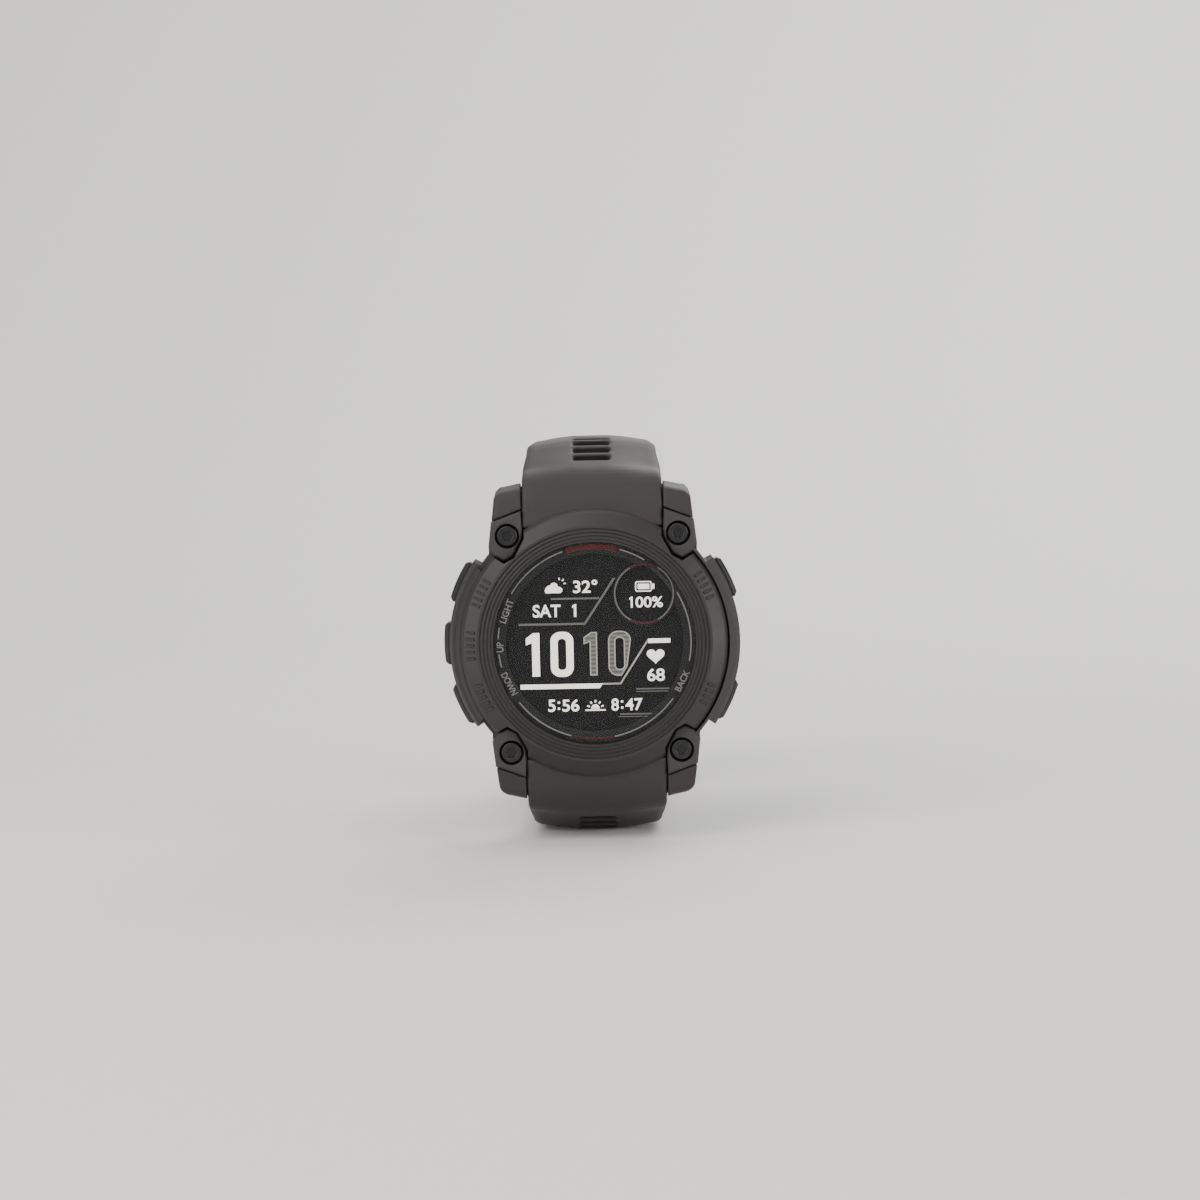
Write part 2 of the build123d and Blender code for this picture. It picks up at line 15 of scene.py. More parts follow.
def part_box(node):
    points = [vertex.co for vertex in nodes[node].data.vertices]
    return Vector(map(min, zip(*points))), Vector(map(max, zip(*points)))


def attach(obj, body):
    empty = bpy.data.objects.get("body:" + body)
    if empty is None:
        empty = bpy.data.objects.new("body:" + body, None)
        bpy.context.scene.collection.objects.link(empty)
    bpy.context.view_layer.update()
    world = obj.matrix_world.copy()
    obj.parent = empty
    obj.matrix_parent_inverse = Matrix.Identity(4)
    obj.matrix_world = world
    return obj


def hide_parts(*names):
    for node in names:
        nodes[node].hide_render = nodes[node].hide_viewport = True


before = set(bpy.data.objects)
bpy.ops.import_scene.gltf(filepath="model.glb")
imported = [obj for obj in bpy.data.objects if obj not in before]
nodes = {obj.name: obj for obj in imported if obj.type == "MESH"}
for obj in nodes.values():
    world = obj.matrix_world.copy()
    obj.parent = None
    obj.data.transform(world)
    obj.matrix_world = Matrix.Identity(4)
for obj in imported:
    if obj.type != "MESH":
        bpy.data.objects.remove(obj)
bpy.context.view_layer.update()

# %% [markdown]
# The watch is easiest to draw in its own axes: x towards 3 o'clock, y towards 12 o'clock, z out of the
# display, all in millimetres from the centre of the rear cover. The lens is a disc on that axis with its
# front 11.3 mm up, so its box says where the axes are in the frame.

# %% The watch's own axes
MM = 0.001
LENS_FRONT = 11.3
lens_low, lens_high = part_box("lens")
AXIS_X = (lens_low.x + lens_high.x) / 2
AXIS_Z = (lens_low.z + lens_high.z) / 2
REAR_Y = lens_low.y + LENS_FRONT * MM


def spot(x, y, z):
    """A point of the watch, in millimetres, as a place in the frame, in metres."""
    return Vector((AXIS_X + x * MM, REAR_Y - z * MM, AXIS_Z + y * MM))


print("centre of the rear cover:", tuple(round(v, 5) for v in spot(0, 0, 0)))

# %% [markdown]
# ## Camera, floor and light
# The watch is seen square on, from a little above, with its 12 o'clock leaning slightly to the left.
# A long lens keeps the round case round. The aim point is off the watch's centre, so that the watch
# sits a little low and left in the frame.

# %% Camera
VIEW_WIDTH = 164.4  # mm across the frame at the watch
LENS_MM = 100.0
SENSOR_MM = 36.0
VIEW_ELEVATION = math.radians(4.0)
VIEW_ROLL = math.radians(-1.1)
AIM_AT = (0.85, 5.9, 11.0)

camera_data = bpy.data.cameras.new("camera")
camera_data.lens = LENS_MM
camera_data.sensor_width = SENSOR_MM
camera_data.clip_start = 0.01
camera = bpy.data.objects.new("camera", camera_data)
bpy.context.scene.collection.objects.link(camera)
bpy.context.scene.camera = camera

aim = spot(*AIM_AT)
distance = VIEW_WIDTH * MM * LENS_MM / SENSOR_MM
camera.location = aim + Vector((0, -math.cos(VIEW_ELEVATION), math.sin(VIEW_ELEVATION))) * distance
tilt = Matrix.Rotation(math.pi / 2 - VIEW_ELEVATION, 4, "X")
camera.matrix_world = Matrix.Translation(camera.location) @ tilt @ Matrix.Rotation(VIEW_ROLL, 4, "Z")
print("camera is", round(distance, 3), "m away")

# %% [markdown]
# ## Colour and nodes
# Colours are written as sRGB hex, the way a paint or a plastic sample is read, and one function turns
# them into the linear values that the shader works with. Every finish is a small tree of nodes. They could
# be placed by hand in the shader editor; one helper that adds a node with its settings and links keeps the
# trees short enough to read here.

# %% Colour and node helpers
def linear(hex_colour):
    """sRGB hex to linear RGBA."""
    values = [int(hex_colour[i:i + 2], 16) / 255 for i in (1, 3, 5)]
    return tuple(v / 12.92 if v <= 0.04045 else ((v + 0.055) / 1.055) ** 2.4 for v in values) + (1.0,)


def shaded(hex_colour, share):
    """The same colour with this share of its light."""
    return tuple(c * share for c in linear(hex_colour)[:3]) + (1.0,)


def add(tree, kind, settings=None, links=None):
    """A node with its settings (attributes or input values) and the sockets that feed it."""
    node = tree.nodes.new(kind)
    for name, value in (settings or {}).items():
        if isinstance(name, str) and hasattr(node, name):
            setattr(node, name, value)
        else:
            node.inputs[name].default_value = value
    for name, socket in (links or {}).items():
        tree.links.new(socket, node.inputs[name])
    return node


def per_metre(size_mm):
    """Texture scale at which a pattern repeats about every size_mm."""
    return 1000.0 / size_mm


def blank(name):
    """An empty material, its node tree and its principled shader."""
    material = bpy.data.materials.new(name)
    material.use_nodes = True
    tree = material.node_tree
    return material, tree, tree.nodes["Principled BSDF"]


print("mid grey #808080 in linear light:", round(linear("#808080")[0], 3))

# %% [markdown]
# ## Moulded polymers
# The case is fibre-reinforced nylon, the bezel the same in a darker batch, and the strap is silicone.
# All of them come out of a mould with a fine spark-eroded grain of 0.1 to 0.3 mm, which spreads the
# highlight. The grain could be cut into the mesh, but it is far smaller than a face, so it is a bump. A
# broad, faint change of tone keeps large faces from looking flat, and the bevel node rounds edges that a
# mould can't leave sharp.

# %% Moulded polymer
CLOUD_MM = 9.0  # size of the broad change of tone
CLOUD_ROUGHNESS = 0.06  # how far it moves the roughness
SPECK_SHARE = 0.18  # how much of the grain shows as colour
BEVEL_SAMPLES = 4


def moulded(name, colour, roughness, grain_mm, grain_depth, edge_mm, tone=0.12, sheen=0.0, ior=1.5):
    """Moulded surface; its grain's size and depth and its edge radius are in millimetres."""
    material, tree, shader = blank(name)
    place = add(tree, "ShaderNodeTexCoord").outputs["Object"]
    cloud = add(tree, "ShaderNodeTexNoise", {"Scale": per_metre(CLOUD_MM), "Detail": 3.0},
                {"Vector": place})
    speck = add(tree, "ShaderNodeTexNoise", {"Scale": per_metre(grain_mm), "Detail": 2.0},
                {"Vector": place})
    shade = add(tree, "ShaderNodeMix",
                {"data_type": "RGBA", 6: shaded(colour, 1 - tone), 7: shaded(colour, 1 + tone)},
                {0: cloud.outputs["Fac"]})
    fine = add(
        tree, "ShaderNodeMix", {"data_type": "RGBA", "blend_type": "OVERLAY", 0: SPECK_SHARE},
        {6: shade.outputs[2], 7: speck.outputs["Fac"]},
    )
    rough = add(
        tree, "ShaderNodeMapRange",
        {"From Min": 0.3, "From Max": 0.7,
         "To Min": roughness - CLOUD_ROUGHNESS, "To Max": roughness + CLOUD_ROUGHNESS},
        {"Value": cloud.outputs["Fac"]},
    )
    rounded_edge = add(tree, "ShaderNodeBevel", {"samples": BEVEL_SAMPLES, "Radius": edge_mm * MM})
    bump = add(
        tree, "ShaderNodeBump", {"Strength": 0.5, "Distance": grain_depth * MM},
        {"Height": speck.outputs["Fac"], "Normal": rounded_edge.outputs["Normal"]},
    )
    tree.links.new(fine.outputs[2], shader.inputs["Base Color"])
    tree.links.new(rough.outputs["Result"], shader.inputs["Roughness"])
    tree.links.new(bump.outputs["Normal"], shader.inputs["Normal"])
    shader.inputs["IOR"].default_value = ior
    shader.inputs["Sheen Weight"].default_value = sheen
    shader.inputs["Sheen Roughness"].default_value = 0.5
    return material


# %% Nylon parts
# The fibres leave a dry, slightly uneven skin: a warm grey-black that hardly shines.
case_nylon = moulded("case_fibre_reinforced_nylon", "#262422", 0.60, 0.22, 0.035, 0.22)
# The bezel's batch is darker, so the bezel stands out from the lug pads beside it.
bezel_nylon = moulded("bezel_fibre_reinforced_nylon", "#191817", 0.56, 0.20, 0.03, 0.12)
# Unfilled nylon, rubbed by fingers, is blacker and shines a little.
button_nylon = moulded("button_nylon", "#0c0c0c", 0.46, 0.18, 0.015, 0.20)
# The rear cover is a colder grey with a coarser grain.
cover_nylon = moulded("rear_cover_nylon", "#2c2c2d", 0.50, 0.25, 0.03, 0.15)
print("nylon finishes:", len((case_nylon, bezel_nylon, button_nylon, cover_nylon)))

# %% Silicone, polycarbonate and printed film
# Silicone bends light less than nylon, and its dusty bloom softens the highlight.
strap_silicone = moulded("strap_silicone", "#282423", 0.66, 0.16, 0.015, 0.25,
                         tone=0.07, sheen=0.03, ior=1.41)
# Seals are the same rubber, from a polished mould: plain black without a grain that shows.
seal_silicone = moulded("seal_silicone", "#121212", 0.55, 0.15, 0.005, 0.05, tone=0.05, ior=1.41)
# Polycarbonate inside the case is a plain satin grey.
frame_plastic = moulded("inner_frame_polycarbonate", "#2b2b2e", 0.55, 0.30, 0.01, 0.10)
# The ring round the display is a film printed black: flat and even.
dial_mask = moulded("dial_ring_printed_film", "#0e0f10", 0.50, 0.12, 0.002, 0.03, tone=0.05)
print("other moulded finishes:", len((strap_silicone, seal_silicone, frame_plastic, dial_mask)))

# %% [markdown]
# ## Metals
# Screws, buckle, spring bars and clips are stainless steel. The buckle and the bezel screws are
# blackened, which leaves a dark satin skin whose edges are rubbed a little brighter. Brass and gold are
# the thread inserts and the charging contacts. Turning and brushing leave fine lines along x, so the
# noise is stretched that way. Wear could be painted on by hand; here it is found where the bevelled
# normal turns away from the face's own, which is just at the edges.

# %% Metal
LINE_STRETCH = (0.12, 1.0, 1.0)  # tool marks are about eight times as long as wide
LINE_DEPTH = 0.004 * MM
BARE_STEEL = "#a9a8a5"


def metal(name, colour, roughness, line_mm, edge_mm, rubbed=0.0):
    """Metal with tool marks line_mm apart; rubbed is how far its edges turn to bare steel."""
    material, tree, shader = blank(name)
    place = add(tree, "ShaderNodeTexCoord").outputs["Object"]
    stretch = add(tree, "ShaderNodeMapping", {"Scale": LINE_STRETCH}, {"Vector": place})
    lines = add(tree, "ShaderNodeTexNoise", {"Scale": per_metre(line_mm), "Detail": 3.0},
                {"Vector": stretch.outputs["Vector"]})
    rough = add(
        tree, "ShaderNodeMapRange", {"To Min": roughness - 0.07, "To Max": roughness + 0.10},
        {"Value": lines.outputs["Fac"]},
    )
    rounded_edge = add(tree, "ShaderNodeBevel", {"samples": BEVEL_SAMPLES, "Radius": edge_mm * MM})
    bump = add(tree, "ShaderNodeBump", {"Strength": 0.25, "Distance": LINE_DEPTH},
               {"Height": lines.outputs["Fac"], "Normal": rounded_edge.outputs["Normal"]})
    face = add(tree, "ShaderNodeNewGeometry").outputs["Normal"]
    edge = add(tree, "ShaderNodeVectorMath", {"operation": "DOT_PRODUCT"},
               {0: rounded_edge.outputs["Normal"], 1: face})
    worn = add(tree, "ShaderNodeMapRange",
               {"From Min": 0.75, "From Max": 0.99, "To Min": rubbed, "To Max": 0.0},
               {"Value": edge.outputs["Value"]})
    base = add(tree, "ShaderNodeMix", {"data_type": "RGBA", 6: linear(colour), 7: linear(BARE_STEEL)},
               {0: worn.outputs["Result"]})
    tree.links.new(base.outputs[2], shader.inputs["Base Color"])
    tree.links.new(rough.outputs["Result"], shader.inputs["Roughness"])
    tree.links.new(bump.outputs["Normal"], shader.inputs["Normal"])
    shader.inputs["Metallic"].default_value = 1.0
    return material


# %% Steels
# Turned stainless steel: pale, with a soft line of light round every head and pin.
stainless = metal("stainless_steel_turned", "#b9b8b4", 0.30, 0.10, 0.06)
# Blackened steel: a dark satin skin that lets the bare metal through at its edges.
black_steel = metal("stainless_steel_blackened", "#3a3a3b", 0.36, 0.12, 0.12, rubbed=0.25)
# Tinned sheet steel over the chips: duller and whiter.
tinned_steel = metal("shield_tinned_steel", "#c4c4c2", 0.38, 0.30, 0.05)
print("steel finishes:", len((stainless, black_steel, tinned_steel)))

# %% Other metals
# Turned brass: warm yellow with bright tool marks.
brass_turned = metal("insert_brass_turned", "#c9a860", 0.30, 0.10, 0.05)
# Gold plate on the contacts: the smoothest and warmest metal on the watch.
gold_plate = metal("contact_gold_plate", "#e0b95c", 0.22, 0.20, 0.05)
# Sintered tungsten: a coarse, heavy-looking grey.
tungsten = metal("rotor_sintered_tungsten", "#77777a", 0.48, 0.15, 0.05)
# Laminated foil round the battery: soft silver with broad creases.
battery_foil = metal("battery_pouch_foil", "#a5a8ab", 0.42, 0.80, 0.20)
print("other metal finishes:", len((brass_turned, gold_plate, tungsten, battery_foil)))

# %% [markdown]
# ## Glass, display and circuit boards
# The lens is chemically hardened glass. Glass can be made to bend light, but this lens is flat and thin
# with the display close behind it, so a clear, glossy layer that lets most of the light through looks the
# same and leaves less noise. Circuit boards are a green lacquer over copper traces, which show through it
# as paler lines; a cell pattern the size of a trace's spacing draws them.

# %% Clear and glossy finishes
SMEAR_MM = 7.0  # size of the faint smears left on glass


def clear_layer(name, colour, alpha, roughness):
    """Glossy layer that lets 1 - alpha of the light through."""
    material, tree, shader = blank(name)
    place = add(tree, "ShaderNodeTexCoord").outputs["Object"]
    smear = add(tree, "ShaderNodeTexNoise", {"Scale": per_metre(SMEAR_MM), "Detail": 3.0},
                {"Vector": place})
    rough = add(tree, "ShaderNodeMapRange", {"To Min": roughness, "To Max": roughness + 0.06},
                {"Value": smear.outputs["Fac"]})
    tree.links.new(rough.outputs["Result"], shader.inputs["Roughness"])
    shader.inputs["Base Color"].default_value = linear(colour)
    shader.inputs["IOR"].default_value = 1.5
    shader.inputs["Alpha"].default_value = alpha
    return material


def board_finish(name, colour, trace_colour, trace_mm):
    """Lacquer with a net of paler traces about trace_mm apart."""
    material, tree, shader = blank(name)
    place = add(tree, "ShaderNodeTexCoord").outputs["Object"]
    cells = add(tree, "ShaderNodeTexVoronoi", {"Scale": per_metre(trace_mm), "distance": "MANHATTAN"},
                {"Vector": place})
    edge = add(tree, "ShaderNodeMapRange", {"From Min": 0.05, "From Max": 0.25},
               {"Value": cells.outputs["Distance"]})
    tone = add(tree, "ShaderNodeMix", {"data_type": "RGBA", 6: linear(trace_colour), 7: linear(colour)},
               {0: edge.outputs["Result"]})
    tree.links.new(tone.outputs[2], shader.inputs["Base Color"])
    shader.inputs["Roughness"].default_value = 0.35
    return material


# %% Glass and display
# Hardened glass: nearly invisible but for a sharp reflection.
lens_glass = clear_layer("lens_hardened_glass", "#0b0d0f", 0.10, 0.03)
# Tinted glass over the sensor: almost black, with the emitters just visible behind it.
window_glass = clear_layer("sensor_window_tinted", "#0a0a0b", 0.74, 0.05)
# Display cells that are off, under a polariser: a flat near-black that mirrors very little.
display_black = clear_layer("display_dark_cells", "#101112", 1.0, 0.45)
display_black.node_tree.nodes["Principled BSDF"].inputs["Specular IOR Level"].default_value = 0.25
print("clear finishes:", len((lens_glass, window_glass, display_black)))

# %% Boards and films inside
# Solder mask: glossy green with paler copper lines.
solder_mask = board_finish("board_solder_mask", "#14532d", "#2f7d46", 0.9)
# Polyimide of the flexes: amber.
polyimide = board_finish("flex_polyimide", "#b06a1c", "#c98b3c", 0.6)
# Plated antenna: pale gold on cream plastic.
antenna_plate = board_finish("antenna_plated_plastic", "#b5a684", "#cdb98c", 2.0)
# Clear epoxy over the emitters: a pale green cast.
emitter_epoxy = board_finish("emitter_epoxy", "#7fae86", "#d8dcc0", 0.5)
# Acrylic light guide: white and glossy.
light_guide = moulded("light_guide_acrylic", "#dfe3e4", 0.25, 0.5, 0.001, 0.05)
# Stretched membrane over the vent: matt white.
vent_film = moulded("vent_membrane_film", "#d6d6d0", 0.6, 0.1, 0.01, 0.02)
inner_finishes = (solder_mask, polyimide, antenna_plate, emitter_epoxy, light_guide, vent_film)
print("inner finishes:", len(inner_finishes))

# %% [markdown]
# ## Finishes on the hard pieces
# The hard pieces come from the CAD model with their exact shapes, so they only need a finish each. A
# table from finish to nodes is easier to check against a parts list than a line for each piece.

# %% Every hard piece gets its finish
FINISHES = {
    case_nylon: ["case_body"],
    bezel_nylon: ["bezel"],
    lens_glass: ["lens"],
    display_black: ["display_panel"],
    dial_mask: ["dial_ring"],
    button_nylon: ["button_light", "button_up", "button_down", "button_start", "button_back"],
    cover_nylon: ["rear_cover"],
    window_glass: ["sensor_window"],
    black_steel: ["bezel_screws", "buckle_frame", "buckle_tongue"],
    stainless: ["rear_screws", "spring_bar_upper", "spring_bar_lower", "release_lever_upper",
                "release_lever_lower", "buckle_bar", "motor_can", "button_bushings"],
    tungsten: ["motor_rotor"],
    brass_turned: ["thread_inserts", "buzzer"],
    gold_plate: ["charge_contacts"],
    tinned_steel: ["board_shields"],
    battery_foil: ["battery"],
    solder_mask: ["main_board", "sensor_board"],
    polyimide: ["display_flex", "sensor_flex"],
    antenna_plate: ["gps_antenna"],
    emitter_epoxy: ["sensor_emitters"],
    light_guide: ["display_backlight"],
    vent_film: ["vent_membrane"],
    frame_plastic: ["display_frame", "inner_frame", "tact_switches"],
    seal_silicone: ["lens_gasket", "rear_gasket", "battery_pad"],
}
for button in ("light", "up", "down", "start", "back"):
    FINISHES[seal_silicone].append(f"button_{button}_seal")
    FINISHES[stainless].append(f"button_{button}_clip")
for material, names in FINISHES.items():
    for name in names:
        nodes[name].data.materials.clear()
        nodes[name].data.materials.append(material)
print("finished nodes:", sum(len(names) for names in FINISHES.values()))

# %% [markdown]
# ## Making pieces
# A piece is a mesh in the frame's own metres that rides on one body, takes one finish, and may stand for
# a CAD node. Most pieces are drawn as a row of outlines joined like the rings of a basket, because that
# always closes.

# %% Solids from outlines
def join_loops(bm, a, b):
    """Faces between two loops with the same number of points."""
    for k in range(len(a)):
        n = (k + 1) % len(a)
        bm.faces.new((a[k], a[n], b[n], b[k]))


def loft(bm, outlines):
    """Closed solid through outlines that all have the same number of points."""
    rows = [[bm.verts.new(p) for p in outline] for outline in outlines]
    bm.faces.new(rows[0])
    bm.faces.new(rows[-1])
    for a, b in zip(rows, rows[1:]):
        join_loops(bm, a, b)


def rounded(cx, cy, width, height, radius, steps=6):
    """Outline of a rounded rectangle about (cx, cy)."""
    outline = []
    for sx, sy, start in ((1, 1, 0), (-1, 1, 90), (-1, -1, 180), (1, -1, 270)):
        for k in range(steps + 1):
            a = math.radians(start + 90 * k / steps)
            outline.append((cx + sx * (width / 2 - radius) + radius * math.cos(a),
                            cy + sy * (height / 2 - radius) + radius * math.sin(a)))
    return outline


print("points in a rounded outline:", len(rounded(0, 0, 2, 1, 0.2)))

# %% Piece helpers
def mesh_of(name, bm):
    """The bmesh as a mesh, with its faces looking outwards."""
    bmesh.ops.recalc_face_normals(bm, faces=bm.faces)
    mesh = bpy.data.meshes.new(name)
    bm.to_mesh(mesh)
    bm.free()
    return mesh


def piece(name, bm, body, material, stands_for=(), smooth=35.0):
    return mesh_piece(name, mesh_of(name, bm), body, material, stands_for, smooth)


def mesh_piece(name, mesh, body, material, stands_for=(), smooth=35.0):
    """A piece from a mesh; edges sharper than smooth, in degrees, stay sharp."""
    mesh.name = name
    mesh.materials.clear()
    mesh.materials.append(material)
    mesh.shade_smooth()
    mesh.set_sharp_from_angle(angle=math.radians(smooth))
    made = bpy.data.objects.new(name, mesh)
    bpy.context.scene.collection.objects.link(made)
    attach(made, body)
    if stands_for:
        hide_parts(*stands_for)
    return made


def with_modifiers(name, bm, modifiers):
    """The mesh that this bmesh becomes under a list of (type, settings) modifiers."""
    mesh = mesh_of(name, bm)
    carrier = bpy.data.objects.new(name, mesh)
    bpy.context.scene.collection.objects.link(carrier)
    for kind, settings in modifiers:
        modifier = carrier.modifiers.new(kind.lower(), kind)
        for key, value in settings.items():
            setattr(modifier, key, value)
    bpy.context.view_layer.update()
    graph = bpy.context.evaluated_depsgraph_get()
    result = bpy.data.meshes.new_from_object(carrier.evaluated_get(graph))
    bpy.data.objects.remove(carrier)
    bpy.data.meshes.remove(mesh)
    return result


def moulding_steps(voxel_mm):
    """Modifiers that rebuild a solid from small cubes and then soften its edges."""
    return [
        ("REMESH", {"mode": "VOXEL", "voxel_size": voxel_mm * MM, "use_smooth_shade": True}),
        ("SMOOTH", {"factor": 0.5, "iterations": 4}),
    ]


print("modifiers per moulding:", [kind for kind, settings in moulding_steps(0.2)])

# %% [markdown]
# ## The silicone strap
# Each half is one moulding. It grips the spring bar in a round knuckle between the lugs, covers the lug
# ends with two shoulders, and runs back behind the watch. Across, its outer face is crowned and falls away
# at both edges. A column of short cross slots runs down the middle. It could be a flat strip bent by a
# curve modifier, but the head's thickness changes too much for that. So it is drawn as a row of cross
# sections, from an outer line and an inner line in the plane of the strap's bend, and then remeshed finely
# so that every edge gets the small radius that silicone takes from its mould.

# %% Lines with rounded corners
def rounded_line(points, radii, step=0.4):
    """Points along straight runs whose corners are rounded with the given radii."""
    line = [Vector(points[0])]
    for before, corner, after, radius in zip(points, points[1:], points[2:], radii):
        corner = Vector(corner)
        back = (Vector(before) - corner).normalized()
        ahead = (Vector(after) - corner).normalized()
        half = back.angle(ahead) / 2
        centre = corner + (back + ahead).normalized() * radius / math.sin(half)
        start = corner + back * radius / math.tan(half) - centre
        end = corner + ahead * radius / math.tan(half) - centre
        count = max(2, int(start.angle(end) * radius / step))
        line += [centre + start.slerp(end, k / count).normalized() * radius for k in range(count + 1)]
    return line + [Vector(points[-1])]


def along(line, length):
    """The point at this length along a line of points."""
    for a, b in zip(line, line[1:]):
        run = (b - a).length
        if length <= run:
            return a.lerp(b, length / run)
        length -= run
    return line[-1].copy()


def length_of(line):
    return sum((b - a).length for a, b in zip(line, line[1:]))


corner = rounded_line([(0, 0), (5, 0), (5, 5)], [2])
print("a line round a corner of radius 2:", round(length_of(corner), 2), "mm")

# %% Strap outlines, as (y, z) in the plane of the bend
PIN = Vector((18.8, 4.4))  # the spring bar
KNUCKLE_R = 2.2
STRAP_T = 2.8  # thickness
OUTER_Y = 27.8  # the straight run's outer face
HEAD_END_Z = -19.0


def knuckle(angle):
    """A point on the knuckle's round."""
    a = math.radians(angle)
    return tuple(PIN + Vector((math.cos(a), math.sin(a))) * KNUCKLE_R)


head_outer = rounded_line([(15.9, 11.05), (22.9, 9.9), (OUTER_Y, -3.2), (OUTER_Y, HEAD_END_Z)], [6.5, 14])
head_inner = [Vector((15.9, 7.95)), Vector((16.62, 7.9))]
head_inner += [Vector(knuckle(a)) for a in range(180, 300, 10)]
head_inner += rounded_line([(19.9, 2.3), (25.0, -5.5), (25.0, HEAD_END_Z)], [12])
HEAD_LENGTH = length_of(head_outer)
print("head of each half, along its outer face:", round(HEAD_LENGTH, 1), "mm")

# %% [markdown]
# Past the head, each half runs straight and then bends on a circle: the upper one tightly down to its
# buckle, the lower one in a wide sweep that ends in a straight tail.

# %% Straight run, bend and tail
UPPER = {"run_z": -26.0, "bend": 17.0, "turn": 88.0, "tail": 0.0}
LOWER = {"run_z": -32.0, "bend": 30.0, "turn": 90.0, "tail": 12.0}


def run_section(half, s):
    """Outer and inner point of a strap half, s mm along its outer face."""
    if s <= HEAD_LENGTH:
        return along(head_outer, s), along(head_inner, s / HEAD_LENGTH * length_of(head_inner))
    s -= HEAD_LENGTH
    straight = HEAD_END_Z - half["run_z"]
    if s <= straight:
        z = HEAD_END_Z - s
        return Vector((OUTER_Y, z)), Vector((OUTER_Y - STRAP_T, z))
    s -= straight
    r_out = half["bend"] + STRAP_T / 2
    centre = Vector((OUTER_Y - r_out, half["run_z"]))
    angle = min(s / r_out, math.radians(half["turn"]))
    ray = Vector((math.cos(angle), -math.sin(angle)))
    shift = Vector((-math.sin(angle), -math.cos(angle))) * max(0.0, s - angle * r_out)
    return centre + ray * r_out + shift, centre + ray * (r_out - STRAP_T) + shift


def outer_length(half):
    straight = HEAD_END_Z - half["run_z"]
    return HEAD_LENGTH + straight + math.radians(half["turn"]) * (half["bend"] + STRAP_T / 2) + half["tail"]


print("strap halves, along the outer face:", round(outer_length(UPPER), 1), round(outer_length(LOWER), 1))

# %% [markdown]
# The section is a plain block at the lugs and crowned, with rounded edges, past the shoulders. One smooth
# ramp leads from the first to the second, so that no step shows.

# %% Strap width
STRAP_HALF = 9.6  # half width between the lugs
WAIST = 0.45  # how far each edge draws in past the shoulders
TAPER, TAPER_RUN = 0.15, 26.0  # how far it draws in after that, and over what length
TIP_START, TIP_R, TIP_SHARE = 9.0, 10.2, 9.0 / 9.9  # the round end of the tail


def smoothstep(value, low, high):
    """A ramp from 0 to 1 that starts and ends level."""
    t = min(1.0, max(0.0, (value - low) / (high - low)))
    return t * t * (3 - 2 * t)


def half_width(half, s, z):
    """Half the strap's width: it draws in past the shoulders, tapers, and may end in a round tail."""
    width = STRAP_HALF - WAIST * smoothstep(-z, -5.0, 2.0) - TAPER * min(1.0, max(0.0, -z / TAPER_RUN))
    left = outer_length(half) - s
    if half["tail"] and left < TIP_START:
        width = min(width, math.sqrt(max(0.04, TIP_R ** 2 - (TIP_R - left) ** 2)) * TIP_SHARE)
    return width


print("half width in the lower half's bend:", round(half_width(LOWER, 60.0, -40.0), 2), "mm")

# %% Strap cross section
SLOT_HALF = 2.55
EDGE_START = 6.3  # along the outer face, just past the shoulders
EDGE_RAMP = 5.5
LIP = 0.45  # chamfer on the wrist side
CROWN = 1.3  # how far the outer face falls away towards its edges
FLARE = 0.16  # extra half width beside the knuckle, which closes the gap to the lugs


def section_ring(half, s, side):
    """One cross section, from the slot's edge on the outer face round to the same edge again."""
    outer, inner = run_section(half, s)
    depth = inner - outer
    thick = depth.length
    width = half_width(half, s, outer.y)
    grown = smoothstep(s, EDGE_START, EDGE_START + EDGE_RAMP)
    round_x, round_d = min(0.3 + 1.4 * grown, 0.45 * width), 0.3 + 0.7 * grown
    flare = FLARE * (1 - smoothstep(s, 3.5, 5.5))
    slot = min(SLOT_HALF, width * 0.5)

    def sag(x):
        return CROWN * grown * (x / STRAP_HALF) ** 2

    flat_end = width - round_x
    right = [(x, sag(x)) for x in (slot, slot + (flat_end - slot) * 0.35, slot + (flat_end - slot) * 0.7)]
    for a in (k * math.pi / 8 for k in range(5)):
        right.append((width - round_x * (1 - math.sin(a)), sag(flat_end) + round_d * (1 - math.cos(a))))
    right += [(width + flare, thick * 0.6), (width + flare, thick - LIP), (width + flare - LIP, thick)]
    right.append((slot, thick))
    profile = right + [(-x, d) for x, d in reversed(right)]
    places = [(x, outer + depth * (d / thick)) for x, d in profile]
    return [spot(x, side * at.x, at.y) for x, at in places]


print("points in a strap section:", len(section_ring(UPPER, 10.0, 1)))

# %% [markdown]
# The slots are cut by leaving faces out of the skin and walling them in. Through holes for the buckle's
# tongue get four walls; blind slots get walls and a floor. A boolean would do it too, but it is slow on a
# curved skin and can leave slivers.

# %% One strap half
SLOT_LENGTH = 1.85
SLOT_DEPTH = 1.3
SECTION_STEP = 0.9
SECTION_GAP = 0.3  # sections keep this far from a slot's ends


def holds(places, a, b):
    """Whether a slot at one of these places spans the run from a to b."""
    return any(a >= s - SLOT_LENGTH / 2 - 1e-6 and b <= s + SLOT_LENGTH / 2 + 1e-6 for s in places)


def section_stops(half, slots):
    """Where the sections stand, with one at each end of each slot."""
    total = outer_length(half)
    stops = {0.0, total}
    for s in slots:
        stops |= {s - SLOT_LENGTH / 2, s + SLOT_LENGTH / 2}
    s = 0.0
    while s < total:
        if all(abs(s - stop) > SECTION_GAP for stop in stops) and not holds(slots, s, s):
            stops.add(s)
        s += SECTION_STEP
    return sorted(stops)


